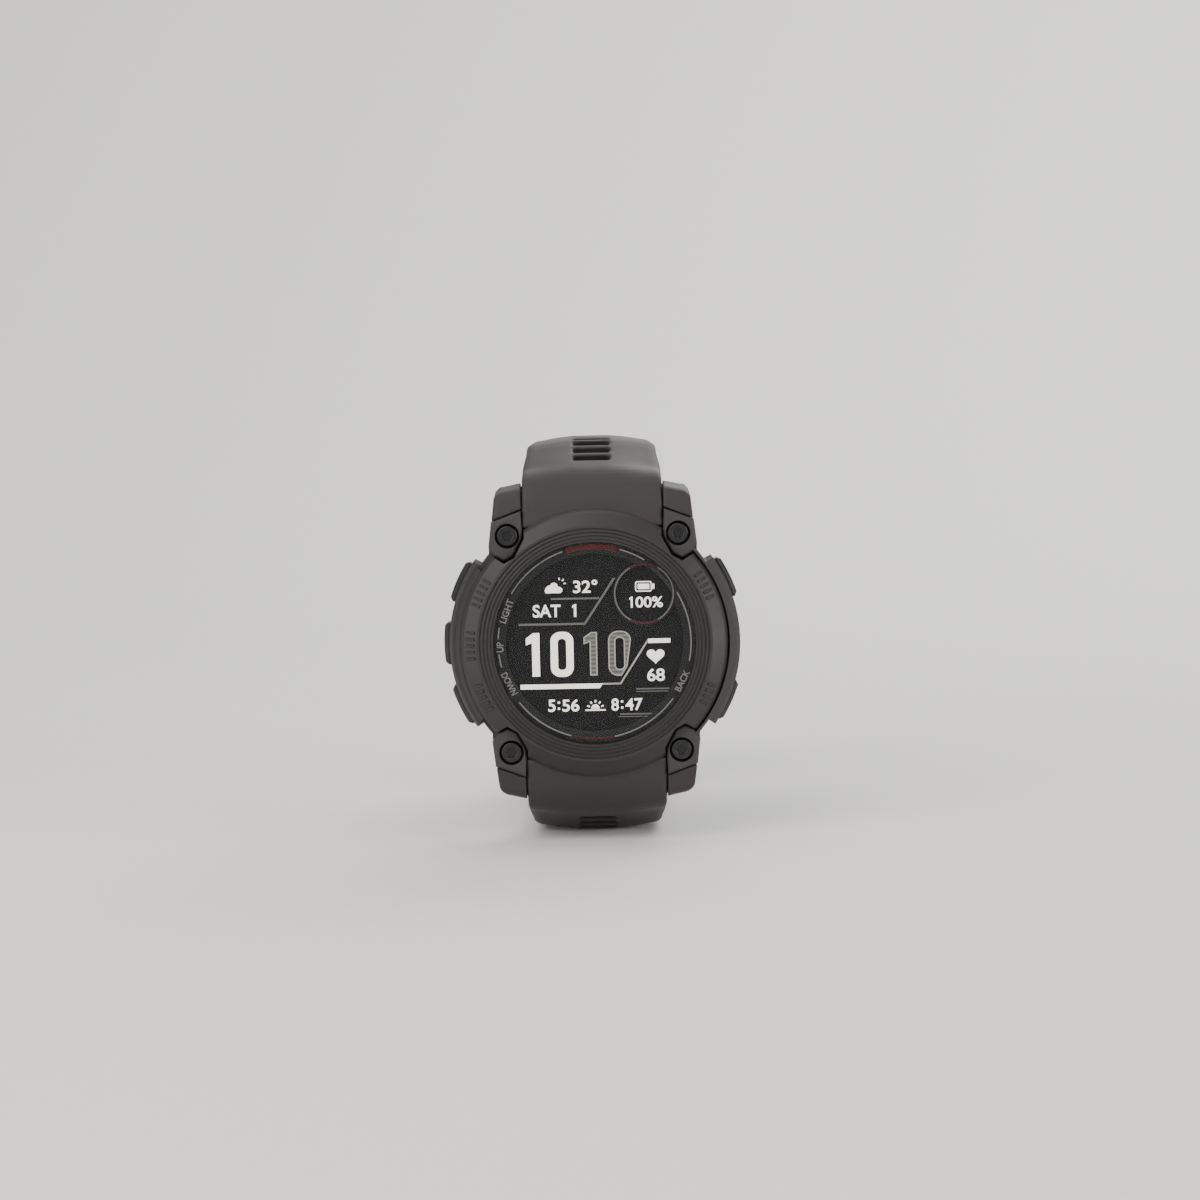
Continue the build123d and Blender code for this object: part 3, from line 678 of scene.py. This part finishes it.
def strap_half(half, side, recesses, holes):
    """Closed mesh of one half. recesses and holes are places along the outer face."""
    stops = section_stops(half, recesses + holes)
    bm = bmesh.new()
    rings = [[bm.verts.new(p) for p in section_ring(half, s, side)] for s in stops]
    count = len(rings[0])
    under = count // 2 - 1  # the slot's edge on the wrist side
    for k, (r0, r1) in enumerate(zip(rings, rings[1:])):
        through = holds(holes, stops[k], stops[k + 1])
        sunk = holds(recesses, stops[k], stops[k + 1])
        for j in range(count):
            n = (j + 1) % count
            if (through and j in (under, count - 1)) or (sunk and j == count - 1):
                continue
            bm.faces.new((r0[j], r0[n], r1[n], r1[j]))
        if through:
            walls = [(r0[-1], r1[-1], r1[under + 1], r0[under + 1]), (r0[0], r1[0], r1[under], r0[under])]
            if not holds(holes, stops[k - 1], stops[k]):
                walls.append((r0[-1], r0[0], r0[under], r0[under + 1]))
            if not holds(holes, stops[k + 1], stops[k + 2]):
                walls.append((r1[-1], r1[0], r1[under], r1[under + 1]))
            for wall in walls:
                bm.faces.new(wall)
        if sunk:
            corner = [r0[-1], r0[0], r1[0], r1[-1]]
            below = [r0[under + 1], r0[under], r1[under], r1[under + 1]]
            floor = [bm.verts.new(a.co + (b.co - a.co).normalized() * SLOT_DEPTH * MM)
                     for a, b in zip(corner, below)]
            for i in range(4):
                bm.faces.new((corner[i], corner[(i + 1) % 4], floor[(i + 1) % 4], floor[i]))
            bm.faces.new(floor)
    bm.faces.new(rings[0])
    bm.faces.new(rings[-1])
    return bm


print("sections in the plain upper half:", len(section_stops(UPPER, [])))

# %% [markdown]
# The shoulders are blocks that cap the ends of the lug pads. Their front follows the pads' slanted ends,
# and a narrow groove parts them from the strap on the outer face. They are remeshed with smaller cubes
# than the strap, or the groove would fill up.

# %% Strap shoulders
SHOULDER_FROM = 9.78
SHOULDER_TO = 13.7
SHOULDER_VOXEL = 0.15
ROOT_SUNK = 0.9  # depth of the groove between shoulder and strap
KNUCKLE_CLEAR_R = 2.87


def shoulder_outline(x, side, direction, sunk=0.0):
    """Side view of a shoulder at x; its front edge follows the slanted end of the lug pad."""
    out = max(0.0, x - SHOULDER_FROM) / (SHOULDER_TO - SHOULDER_FROM)
    front = 18.55 - (x - 9.6) * 0.38
    top = 11.05 - (front - 15.9) * 0.167 - sunk
    corner = max(0.0, out - 0.75) / 0.25
    pull = sunk * 0.6 + 0.75 * out + 0.9 * (1 - math.sqrt(1 - min(0.97, corner) ** 2))
    points = [(front, 7.3), (front, top), (20.6 - pull, 10.2 - sunk), (21.1 - pull, 9.95 - sunk),
              (21.4 - pull, 9.4 - sunk), (22.0 - pull, 5.6), (21.75 - pull, 4.9)]
    for a in (1.4, 1.1, 0.8, 0.5, 0.2, 0.0):
        y, z = PIN + Vector((math.sin(a), math.cos(a))) * KNUCKLE_CLEAR_R
        points.append((min(y, 21.5 - pull), z))
    return [spot(direction * (x - 0.12 * out * (y - 18.0)), side * y, z) for y, z in points]


def shoulder_pair(side):
    """Both shoulders of one half, remeshed on their own."""
    bm = bmesh.new()
    stations = (SHOULDER_FROM, 11.5, 12.7, 13.1, 13.4, 13.6, SHOULDER_TO)
    for direction in (-1, 1):
        loft(bm, [shoulder_outline(x, side, direction) for x in stations])
    return with_modifiers("shoulders", bm, moulding_steps(SHOULDER_VOXEL))


def add_shoulder_roots(bm, side):
    """What joins the shoulders to the strap, below the groove between them."""
    for direction in (-1, 1):
        loft(bm, [shoulder_outline(x, side, direction, ROOT_SUNK) for x in (9.0, 10.6)])


print("points in a shoulder outline:", len(shoulder_outline(SHOULDER_FROM, 1, 1)))

# %% [markdown]
# The quick release lever comes out of a short slot on the knuckle's wrist side. After the remesh there
# are enough points to push that patch of the surface in, past the lever.

# %% Lever slot, and one half as a piece
STRAP_VOXEL = 0.24
LEVER_X = (3.4, 6.6)
LEVER_HALF_Y = 0.62
LEVER_Z = (1.5, 3.6)


def open_lever_slot(mesh, side):
    for v in mesh.vertices:
        x, y, z = (v.co.x - AXIS_X) / MM, side * (v.co.z - AXIS_Z) / MM, (REAR_Y - v.co.y) / MM
        beside = LEVER_X[0] < x < LEVER_X[1] and abs(y - PIN.x) < LEVER_HALF_Y
        if beside and LEVER_Z[0] < z < LEVER_Z[1]:
            v.co.y = REAR_Y - LEVER_Z[1] * MM


def strap_piece(name, bm, side, body, node):
    """Remeshes one half, opens its lever slot, joins its shoulders on and makes the piece."""
    mesh = with_modifiers(name, bm, moulding_steps(STRAP_VOXEL))
    open_lever_slot(mesh, side)
    whole = bmesh.new()
    whole.from_mesh(mesh)
    whole.from_mesh(shoulder_pair(side))
    whole.to_mesh(mesh)
    whole.free()
    mesh_piece(name, mesh, body, strap_silicone, [node], 180)
    print(name, len(mesh.vertices), "vertices")


# %% [markdown]
# The upper half ends in a loop round the buckle's bar, parted in the middle for the tongue. The lower
# half has seven holes for it, about 5.5 mm apart.

# %% Loop, slots and holes
LOOP_R = 1.9
LOOP_SPANS = ((-8.9, -2.5), (2.5, 8.9))


def loop_round_bar(bm):
    low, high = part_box("buckle_bar")
    centre = (low + high) / 2
    outline = [Vector((0, math.cos(a), math.sin(a))) * LOOP_R * MM
               for a in (k * math.pi / 12 for k in range(24))]
    for span in LOOP_SPANS:
        loft(bm, [[centre + p + Vector((x * MM, 0, 0)) for p in outline] for x in span])


FIRST_SLOT, SLOT_PITCH, SLOTS = 13.3, 2.8, 7
HOLE_PITCH = 5.5
LAST_HOLE = 6.5  # from the tip
column = [FIRST_SLOT + SLOT_PITCH * k for k in range(SLOTS)]
bend_start = HEAD_LENGTH + HEAD_END_Z - LOWER["run_z"]
outer_bend = LOWER["bend"] + STRAP_T / 2
buckle_holes = [bend_start + math.radians(88) * outer_bend - HOLE_PITCH * k * outer_bend / LOWER["bend"]
                for k in range(6)]
buckle_holes.append(outer_length(LOWER) - LAST_HOLE)
print("slots per half:", len(column), "buckle holes:", len(buckle_holes))

# %% Both strap halves
upper_bm = strap_half(UPPER, 1, column, [])
add_shoulder_roots(upper_bm, 1)
loop_round_bar(upper_bm)
strap_piece("strap_upper_moulding", upper_bm, 1, "upper_strap", "strap_upper")
lower_bm = strap_half(LOWER, -1, column, buckle_holes)
add_shoulder_roots(lower_bm, -1)
strap_piece("strap_lower_moulding", lower_bm, -1, "lower_strap", "strap_lower")

# %% [markdown]
# ## Keepers
# Two silicone hoops hold the strap's tail down. They are bent like the strap under them, and their rims
# are rounded, because a sharp rim would cut into the wrist. Each is drawn as an outer and an inner skin
# of rounded boxes, turned step by step about the bend's centre, and closed at both rims.

# %% Keeper hoops
BEND = (9.4, -26.0)
KEEPER_HALF, KEEPER_LOW, KEEPER_HIGH = 9.25, 15.35, 21.45  # inside, from the bend's centre
KEEPER_WALL = 1.3
RIM_ROUND = [(0.0, 0.5), (0.03, 0.27), (0.08, 0.1), (0.15, 0.0)]  # (share of the width, mm sunk)


def keeper_loop(bm, wall, radius, angle):
    """One turn round the strap, wall mm outside the hoop's opening."""
    a = math.radians(angle)
    middle = (KEEPER_LOW + KEEPER_HIGH) / 2
    height = KEEPER_HIGH - KEEPER_LOW + 2 * wall
    outline = rounded(0, middle, 2 * (KEEPER_HALF + wall), height, radius)
    return [bm.verts.new(spot(x, BEND[0] + r * math.cos(a), BEND[1] - r * math.sin(a))) for x, r in outline]


def keeper_hoop(name, first, width, body, node):
    """A hoop from the angle first over width degrees of the bend."""
    stations = RIM_ROUND + [(0.5, 0.0)] + [(1 - t, sunk) for t, sunk in reversed(RIM_ROUND)]
    bm = bmesh.new()
    outer, inner = [], []
    for t, sunk in stations:
        outer.append(keeper_loop(bm, KEEPER_WALL - sunk, 1.7, first + width * t))
        inner.append(keeper_loop(bm, 0.02, 0.7, first + width * t))
    for rows in (outer, inner):
        for a, b in zip(rows, rows[1:]):
            join_loops(bm, a, b)
    for end in (0, -1):
        join_loops(bm, outer[end], inner[end])
    piece(name, bm, body, strap_silicone, [node], 50)


keeper_hoop("keeper_fixed_hoop", 71, 13, "upper_strap", "keeper_fixed")
keeper_hoop("keeper_sliding_hoop", 56, 13, "loose_keeper", "keeper_sliding")
print("keeper hoops:", 2)

# %% [markdown]
# ## What the display shows
# The display is reflective, so its picture is white on near-black and lies flat behind the glass. A
# picture could be laid on it as a texture, but drawn marks stay crisp at any distance and need no file.
# Each mark is a very thin solid just over the panel: bars and arcs are drawn from their outlines, numbers
# and words from a plain built-in typeface squeezed to the width of the real ones.

# %% Flat marks
MARK_Z = 10.13  # just above the printed ring, under the lens
MARK_THICK = 0.03


def flat(bm, outline):
    """Thin closed solid with this (x, y) outline."""
    loft(bm, [[spot(x, y, z) for x, y in outline] for z in (MARK_Z, MARK_Z + MARK_THICK)])


def band(bm, outer, inner):
    """Thin closed solid between two outlines with the same number of points."""
    rows = [[bm.verts.new(spot(x, y, z)) for x, y in outline]
            for outline, z in ((outer, MARK_Z), (outer, MARK_Z + MARK_THICK),
                               (inner, MARK_Z + MARK_THICK), (inner, MARK_Z))]
    for a, b in zip(rows, rows[1:] + rows[:1]):
        join_loops(bm, a, b)


def bar(bm, x0, x1, y, width, cut_end=0.0):
    """Level bar; cut_end slants its right end."""
    low, high = y - width / 2, y + width / 2
    flat(bm, [(x0, low), (x1 - cut_end, low), (x1, high), (x0, high)])


def slant(bm, start, end, width):
    """Bar between two points, its ends cut level."""
    run = Vector(end) - Vector(start)
    side = width / 2 * run.length / run.y
    flat(bm, [(start[0] - side, start[1]), (start[0] + side, start[1]), (end[0] + side, end[1]),
              (end[0] - side, end[1])])


def arc(bm, radius, width, first, last, centre=(0.0, 0.0)):
    """Bar along a circle, between two angles in degrees."""
    count = max(6, int(abs(last - first) / 2))
    angles = [math.radians(first + (last - first) * k / count) for k in range(count + 1)]
    outline = []
    for r, turns in ((radius + width / 2, angles), (radius - width / 2, reversed(angles))):
        outline += [(centre[0] + r * math.cos(a), centre[1] + r * math.sin(a)) for a in turns]
    flat(bm, outline)


print("marks lie", MARK_Z, "mm above the rear cover")


# %% Lettering
def lettering(bm, words, centre, size, turn=0.0, weight=0.018):
    """Words squeezed into a box of this (width, height), turned about its centre, in degrees."""
    curve = bpy.data.curves.new("lettering", "FONT")
    curve.body = words
    curve.size = 1.0
    curve.offset = weight
    curve.extrude = 0.5
    text = bpy.data.objects.new("lettering", curve)
    bpy.context.scene.collection.objects.link(text)
    bpy.context.view_layer.update()
    graph = bpy.context.evaluated_depsgraph_get()
    mesh = bpy.data.meshes.new_from_object(text.evaluated_get(graph))
    xs = [v.co.x for v in mesh.vertices]
    ys = [v.co.y for v in mesh.vertices]
    angle = math.radians(turn)
    for v in mesh.vertices:
        x = ((v.co.x - min(xs)) / (max(xs) - min(xs)) - 0.5) * size[0]
        y = ((v.co.y - min(ys)) / (max(ys) - min(ys)) - 0.5) * size[1]
        v.co = spot(centre[0] + x * math.cos(angle) - y * math.sin(angle),
                    centre[1] + x * math.sin(angle) + y * math.cos(angle),
                    MARK_Z + (v.co.z + 0.5) * MARK_THICK)
    bm.from_mesh(mesh)
    bpy.data.objects.remove(text)
    bpy.data.curves.remove(curve)
    bpy.data.meshes.remove(mesh)


# %% [markdown]
# The big digits are taller and squarer than the typeface, so they have outlines of their own. The
# minutes' last digit is cut off by the slanted line beside it, so its outline is held back from it.

# %% Big digits
DIGIT_Y, DIGIT_H = -1.55, 6.0
SLANT_LOW, SLANT_HIGH = (3.4, -5.83), (7.45, 0.4)
SLANT_GAP = 0.55
RIM = 0.17  # width of the pale outline round the hatched digits


def one_outline(x, y=DIGIT_Y, height=DIGIT_H, inset=0.0):
    """A 1 with a flag, its stem's middle at x; inset draws it that much smaller all round."""
    h = height / 2
    stem, flag = 0.087 * height, 0.225 * height
    top, low, i = y + h, y - h, inset
    return [(x - stem + i, low + i), (x + stem - i, low + i), (x + stem - i, top - i),
            (x - 0.056 * height + i * 0.5, top - i), (x - flag + i, top - 0.119 * height - i * 0.4),
            (x - flag + i, top - 0.278 * height + i * 1.3), (x - stem + i, top - 0.23 * height + i * 1.2)]


def zero_outline(x, grow=0.0):
    """The outer line of a tall 0, held back from the slanted bar."""
    slope = (SLANT_HIGH[0] - SLANT_LOW[0]) / (SLANT_HIGH[1] - SLANT_LOW[1])
    outline = rounded(x, DIGIT_Y, 3.15 + 2 * grow, DIGIT_H + 0.2 + 2 * grow, 1.3 + grow)
    return [(min(px, SLANT_LOW[0] + (py - SLANT_LOW[1]) * slope - SLANT_GAP + grow), py)
            for px, py in outline]


def zero_hole(x, grow=0.0):
    return rounded(x, DIGIT_Y, 1.15 + 2 * grow, DIGIT_H - 1.7 + 2 * grow, 0.5 + grow)


MINUTE_ONE, MINUTE_ZERO = -0.18, 3.42  # the middles of the minutes' two digits
print("big digits:", DIGIT_H, "mm tall")

# %% Display marks in white
bm = bmesh.new()
flat(bm, one_outline(-8.1))
band(bm, zero_outline(-4.5), zero_hole(-4.5))
bar(bm, -10.3, 1.05, -5.98, 0.66, 0.45)
bar(bm, 7.35, 10.4, 0.1, 0.62)
lettering(bm, "32\u00b0", (-1.15, 7.75), (3.35, 1.8))
lettering(bm, "SAT", (-6.5, 4.45), (3.8, 1.75))
flat(bm, one_outline(-2.6, 4.45, 1.75))
flat(bm, one_outline(5.2, 5.45, 1.5))
lettering(bm, "00%", (7.6, 5.45), (3.75, 1.5))
lettering(bm, "68", (8.35, -4.6), (2.4, 1.75))
TIMES_Y = -8.62
for hour, minutes, x in (("5", "56", -4.4), ("8", "47", 4.3)):
    lettering(bm, hour, (x - 1.65, TIMES_Y), (1.0, 1.7))
    lettering(bm, minutes, (x + 0.95, TIMES_Y), (2.35, 1.7))
    for dot in (-0.42, 0.42):
        flat(bm, rounded(x - 0.68, TIMES_Y + dot, 0.32, 0.32, 0.1))
print("faces in white so far:", len(bm.faces))

# %% Small pictures: battery, heart, cloud with sun, sunrise
CELL = (6.85, 7.6)
band(bm, rounded(*CELL, 2.3, 1.45, 0.3), rounded(*CELL, 2.0, 1.15, 0.2))
flat(bm, rounded(*CELL, 1.6, 0.75, 0.1))
flat(bm, rounded(CELL[0] + 1.35, CELL[1], 0.3, 0.75, 0.1))
heart = [(1.3 * 16 * math.sin(a) ** 3 / 17,
          1.2 * (13 * math.cos(a) - 5 * math.cos(2 * a) - 2 * math.cos(3 * a) - math.cos(4 * a)) / 17)
         for a in (k * math.pi / 20 for k in range(40))]
flat(bm, [(8.35 + x, -1.95 + y) for x, y in heart])
cloud = [(-1.3, -0.85), (1.0, -0.85), (1.3, -0.6), (1.3, -0.2), (0.95, 0.1), (0.6, 0.15), (0.5, 0.55),
         (0.1, 0.8), (-0.35, 0.7), (-0.6, 0.35), (-0.95, 0.3), (-1.25, 0.0), (-1.45, -0.45)]
flat(bm, [(-5.45 + 0.88 * x, 7.65 + 0.88 * y) for x, y in cloud])


def rays(bm, centre, near, far, half, angles):
    """Short bars that point away from centre."""
    for angle in angles:
        out = Vector((math.cos(math.radians(angle)), math.sin(math.radians(angle))))
        across = Vector((-out.y, out.x)) * half
        ray = [out * near - across, out * far - across, out * far + across, out * near + across]
        flat(bm, [(centre[0] + p.x, centre[1] + p.y) for p in ray])


rays(bm, (-4.65, 8.15), 0.55, 0.85, 0.08, (5, 50, 95))
SUN, SUN_R = (-0.05, -9.12), 0.6
rays(bm, SUN, 0.85, 1.2, 0.1, (20, 55, 90, 125, 160))
flat(bm, [(SUN[0] + SUN_R * math.cos(a), SUN[1] + SUN_R * math.sin(a))
          for a in (k * math.pi / 10 for k in range(11))])
bar(bm, SUN[0] - 1.4, SUN[0] + 1.4, SUN[1] - 0.2, 0.2)
white_marks = bm
print("white marks:", len(bm.faces), "faces")

# %% Display marks in pale grey: the outline of the minutes, and the line that climbs beside them
bm = bmesh.new()
band(bm, one_outline(MINUTE_ONE), one_outline(MINUTE_ONE, inset=RIM))
band(bm, zero_outline(MINUTE_ZERO), zero_outline(MINUTE_ZERO, -RIM))
band(bm, zero_hole(MINUTE_ZERO, RIM), zero_hole(MINUTE_ZERO))
bar(bm, 0.95, SLANT_LOW[0], -5.72, 0.22)
slant(bm, SLANT_LOW, SLANT_HIGH, 0.22)
pale_marks = bm
print("pale marks:", len(bm.faces), "faces")

# %% Thin lines on the display, and the small round window's ring
SMALL_RING, SMALL_RING_R = (6.9, 6.6), 4.02
bm = bmesh.new()
bar(bm, -5.9, 0.75, 6.1, 0.26)
bar(bm, -10.4, -1.25, 2.62, 0.3)
slant(bm, (-1.4, 2.45), (2.85, 8.85), 0.3)
bar(bm, 5.6, 10.2, -6.5, 0.2)
bar(bm, 5.6, 10.0, -6.86, 0.14)
bar(bm, 3.3, 7.7, -9.95, 0.2)
bar(bm, 3.1, 7.1, -10.3, 0.12)
arc(bm, SMALL_RING_R, 0.2, 62, -62, SMALL_RING)
arc(bm, SMALL_RING_R, 0.2, 118, 242, SMALL_RING)
dim_marks = bm
print("thin lines:", len(bm.faces), "faces")

# %% [markdown]
# Round the display, the printed ring carries thin arcs and the name of what each button does. The arcs
# leave gaps for the words, for a red mark at 12 o'clock and for a thin red one at 6 o'clock.

# %% Print round the display
PRINT_R = 13.25
PRINT_ARCS = ((148.5, 108.5), (74, 58), (30.5, -12), (177, 170), (194, 186), (217.5, 255), (-36.5, -79))
bm = bmesh.new()
for first, last in PRINT_ARCS:
    arc(bm, PRINT_R, 0.18, first, last)
lettering(bm, "LIGHT", (-12.0, 4.55), (3.4, 0.95), 69)
lettering(bm, "UP", (-13.0, -0.4), (1.4, 0.95), 90)
lettering(bm, "DOWN", (-11.85, -5.5), (3.3, 0.95), -63)
lettering(bm, "BACK", (11.95, -5.5), (3.1, 0.95), 63)
grey_marks = bm
print("grey print:", len(bm.faces), "faces")

# %% Hatched digits and red marks
bm = bmesh.new()
flat(bm, one_outline(MINUTE_ONE, inset=RIM))
band(bm, zero_outline(MINUTE_ZERO, -RIM), zero_hole(MINUTE_ZERO, RIM))
hatched_marks = bm

bm = bmesh.new()
arc(bm, 13.2, 0.75, 106.5, 75.5)
arc(bm, PRINT_R, 0.2, 256, 280)
arc(bm, SMALL_RING_R, 0.2, 116, 64, SMALL_RING)
arc(bm, SMALL_RING_R, 0.2, -116, -64, SMALL_RING)
red_marks = bm
print("hatched and red marks:", len(hatched_marks.faces) + len(red_marks.faces), "faces")

# %% [markdown]
# The marks on the display are cells that let light through to a mirror behind them. They look like matt
# ink in a room, with a fine grid between the cells, and a painted glow of their own, an emission, stands
# for the light that the mirror sends back. The print on the ring is drawn the same way, with a dimmer
# painted glow.

# %% Display inks with a painted glow
CELL_MM = 0.14
HATCH_MM = 0.30


def ink_with_painted_glow(name, colour, glow, hatch=None):
    """Matt marks broken by the grid of cells, and by lines in the colour hatch if it is given, with a
    painted glow.
    """
    material, tree, shader = blank(name)
    place = add(tree, "ShaderNodeTexCoord").outputs["Object"]
    grid = add(tree, "ShaderNodeTexVoronoi", {"Scale": per_metre(CELL_MM), "Randomness": 0.0},
               {"Vector": place})
    tone = add(tree, "ShaderNodeMix", {"data_type": "RGBA", 6: linear(colour), 7: shaded(colour, 0.88)},
               {0: grid.outputs["Distance"]})
    result = tone.outputs[2]
    if hatch:
        lean = add(tree, "ShaderNodeMapping", {"Rotation": (0.0, math.radians(90), 0.0)},
                   {"Vector": place})
        lines = add(tree, "ShaderNodeTexWave",
                    {"Scale": per_metre(HATCH_MM) / (2 * math.pi), "bands_direction": "X"},
                    {"Vector": lean.outputs["Vector"]})
        hatched = add(tree, "ShaderNodeMix", {"data_type": "RGBA", 6: linear(hatch)},
                      {0: lines.outputs["Fac"], 7: result})
        result = hatched.outputs[2]
    tree.links.new(result, shader.inputs["Base Color"])
    shader.inputs["Roughness"].default_value = 0.5
    # Painted glow: the marks emit their own colour, which stands for the light that the mirror sends back.
    tree.links.new(result, shader.inputs["Emission Color"])
    shader.inputs["Emission Strength"].default_value = glow
    shader.inputs["Specular IOR Level"].default_value = 0.2
    return material


# Each finish's last number is the strength of its painted glow; the print on the ring glows as well.
piece("display_white_marks", white_marks, "watch_head",
      ink_with_painted_glow("display_white_cells", "#f8f6ec", 1.15))
piece("display_pale_marks", pale_marks, "watch_head", ink_with_painted_glow("display_pale_cells", "#a5a49c", 0.4))
piece("display_dim_marks", dim_marks, "watch_head", ink_with_painted_glow("display_dim_cells", "#6a6966", 0.2))
piece("display_grey_marks", grey_marks, "watch_head", ink_with_painted_glow("display_grey_print", "#83827f", 0.25))
piece("display_hatched_hour", hatched_marks, "watch_head",
      ink_with_painted_glow("display_hatched_cells", "#7c7b75", 0.3, "#55544f"))
piece("display_red_marks", red_marks, "watch_head", ink_with_painted_glow("display_red_print", "#572a2d", 0.15))
print("display pieces:", 6)

# %% [markdown]
# ## Grip marks on the bezel
# Beside each button the bezel carries a small group of raised ridges, so that a thumb finds the button
# without looking. They are moulded with the bezel and stand 0.14 mm above its cone. Each is a small
# closed block with sloping sides that starts just inside the bezel.

# %% Bezel ridges
RIDGE_GROUPS = {155: 5, 180: 5, 205: 5, 27: 5, -25: 4}  # angle of the middle: how many
RIDGE_STEP = 3.0  # degrees
RIDGE_ROOT, RIDGE_SLOPE = 0.05, 0.12
CONE_IN, CONE_OUT = (16.2, 12.5), (17.9, 11.45)  # (radius, height) of the bezel's outer cone


def bezel_top(radius):
    """Height of the bezel's outer cone."""
    return CONE_IN[1] - (radius - CONE_IN[0]) * (CONE_IN[1] - CONE_OUT[1]) / (CONE_OUT[0] - CONE_IN[0])


def ridge(bm, angle, r0, r1, half, height):
    a = math.radians(angle)
    out, side = Vector((math.cos(a), math.sin(a))), Vector((-math.sin(a), math.cos(a)))

    def ring_at(r, half_width, z):
        return [tuple(out * r - side * half_width) + (z,), tuple(out * r + side * half_width) + (z,)]

    base = ring_at(r0, half, bezel_top(r0) - RIDGE_ROOT)
    base += ring_at(r1, half, bezel_top(r1) - RIDGE_ROOT)[::-1]
    crest = ring_at(r0 + RIDGE_SLOPE, half - 0.1, bezel_top(r0) + height)
    crest += ring_at(r1 - RIDGE_SLOPE, half - 0.1, bezel_top(r1) + height)[::-1]
    loft(bm, [[spot(*p) for p in base], [spot(*p) for p in crest]])


bm = bmesh.new()
for middle, count in RIDGE_GROUPS.items():
    for k in range(count):
        ridge(bm, middle + (k - (count - 1) / 2) * RIDGE_STEP, 16.45, 17.75, 0.24, 0.14)
piece("bezel_grip_ridges", bm, "watch_head", bezel_nylon)
print("bezel ridges:", sum(RIDGE_GROUPS.values()))

# %% [markdown]
# ## Floor, backdrop and lights
# One sheet of pale grey paper is floor and backdrop, with a wide bend so that no line shows behind the
# watch. The lens would mirror a lamp in front of it, so the lamps stand high or far to the sides.

# %% Floor and backdrop
SHEET_BEND = 0.35  # metres
SHEET_FRONT, SHEET_TOP, SHEET_HALF = -1.6, 2.2, 2.2


def backdrop():
    bm = bmesh.new()
    profile = [(SHEET_FRONT, 0.0), (SHEET_BEND, 0.0)]
    profile += [(SHEET_BEND * (1 + math.sin(a)), SHEET_BEND * (1 - math.cos(a))) for a in
                (k * math.pi / 32 for k in range(1, 17))]
    profile += [(2 * SHEET_BEND, SHEET_TOP)]
    rows = [[bm.verts.new((x, y, z)) for y, z in profile] for x in (-SHEET_HALF, SHEET_HALF)]
    for k in range(len(profile) - 1):
        bm.faces.new((rows[0][k], rows[1][k], rows[1][k + 1], rows[0][k + 1]))
    mesh = bpy.data.meshes.new("backdrop")
    bm.to_mesh(mesh)
    bm.free()
    mesh.shade_smooth()
    sheet = bpy.data.objects.new("backdrop", mesh)
    bpy.context.scene.collection.objects.link(sheet)
    material, tree, shader = blank("studio_paper")
    shader.inputs["Base Color"].default_value = linear("#dcdbd8")
    shader.inputs["Roughness"].default_value = 0.9
    mesh.materials.append(material)


backdrop()
print("sheet:", 2 * SHEET_HALF, "m wide")


# %% Lights
def area_light(name, at, size, power, colour="#ffffff"):
    data = bpy.data.lights.new(name, "AREA")
    data.shape = "RECTANGLE"
    data.size, data.size_y = size
    data.energy = power
    data.color = linear(colour)[:3]
    light = bpy.data.objects.new(name, data)
    bpy.context.scene.collection.objects.link(light)
    light.location = at
    light.rotation_euler = (spot(0, 0, 5) - Vector(at)).to_track_quat("-Z", "Y").to_euler()


area_light("key", (-0.35, -0.55, 0.50), (0.5, 0.5), 5.2, "#fffaf2")
area_light("fill", (0.60, -0.40, 0.14), (0.5, 0.25), 3.8, "#fbfaf6")
area_light("low_side", (-0.55, -0.45, 0.10), (0.4, 0.18), 1.7)
area_light("top", (0.0, 0.1, 0.8), (0.8, 0.4), 2.8)
area_light("rear", (0.25, 0.6, 0.5), (0.6, 0.4), 5.0)
world = bpy.data.worlds.new("studio")
world.use_nodes = True
world.node_tree.nodes["Background"].inputs["Color"].default_value = linear("#e8ebee")
world.node_tree.nodes["Background"].inputs["Strength"].default_value = 0.5
bpy.context.scene.world = world
print("lights:", 5)
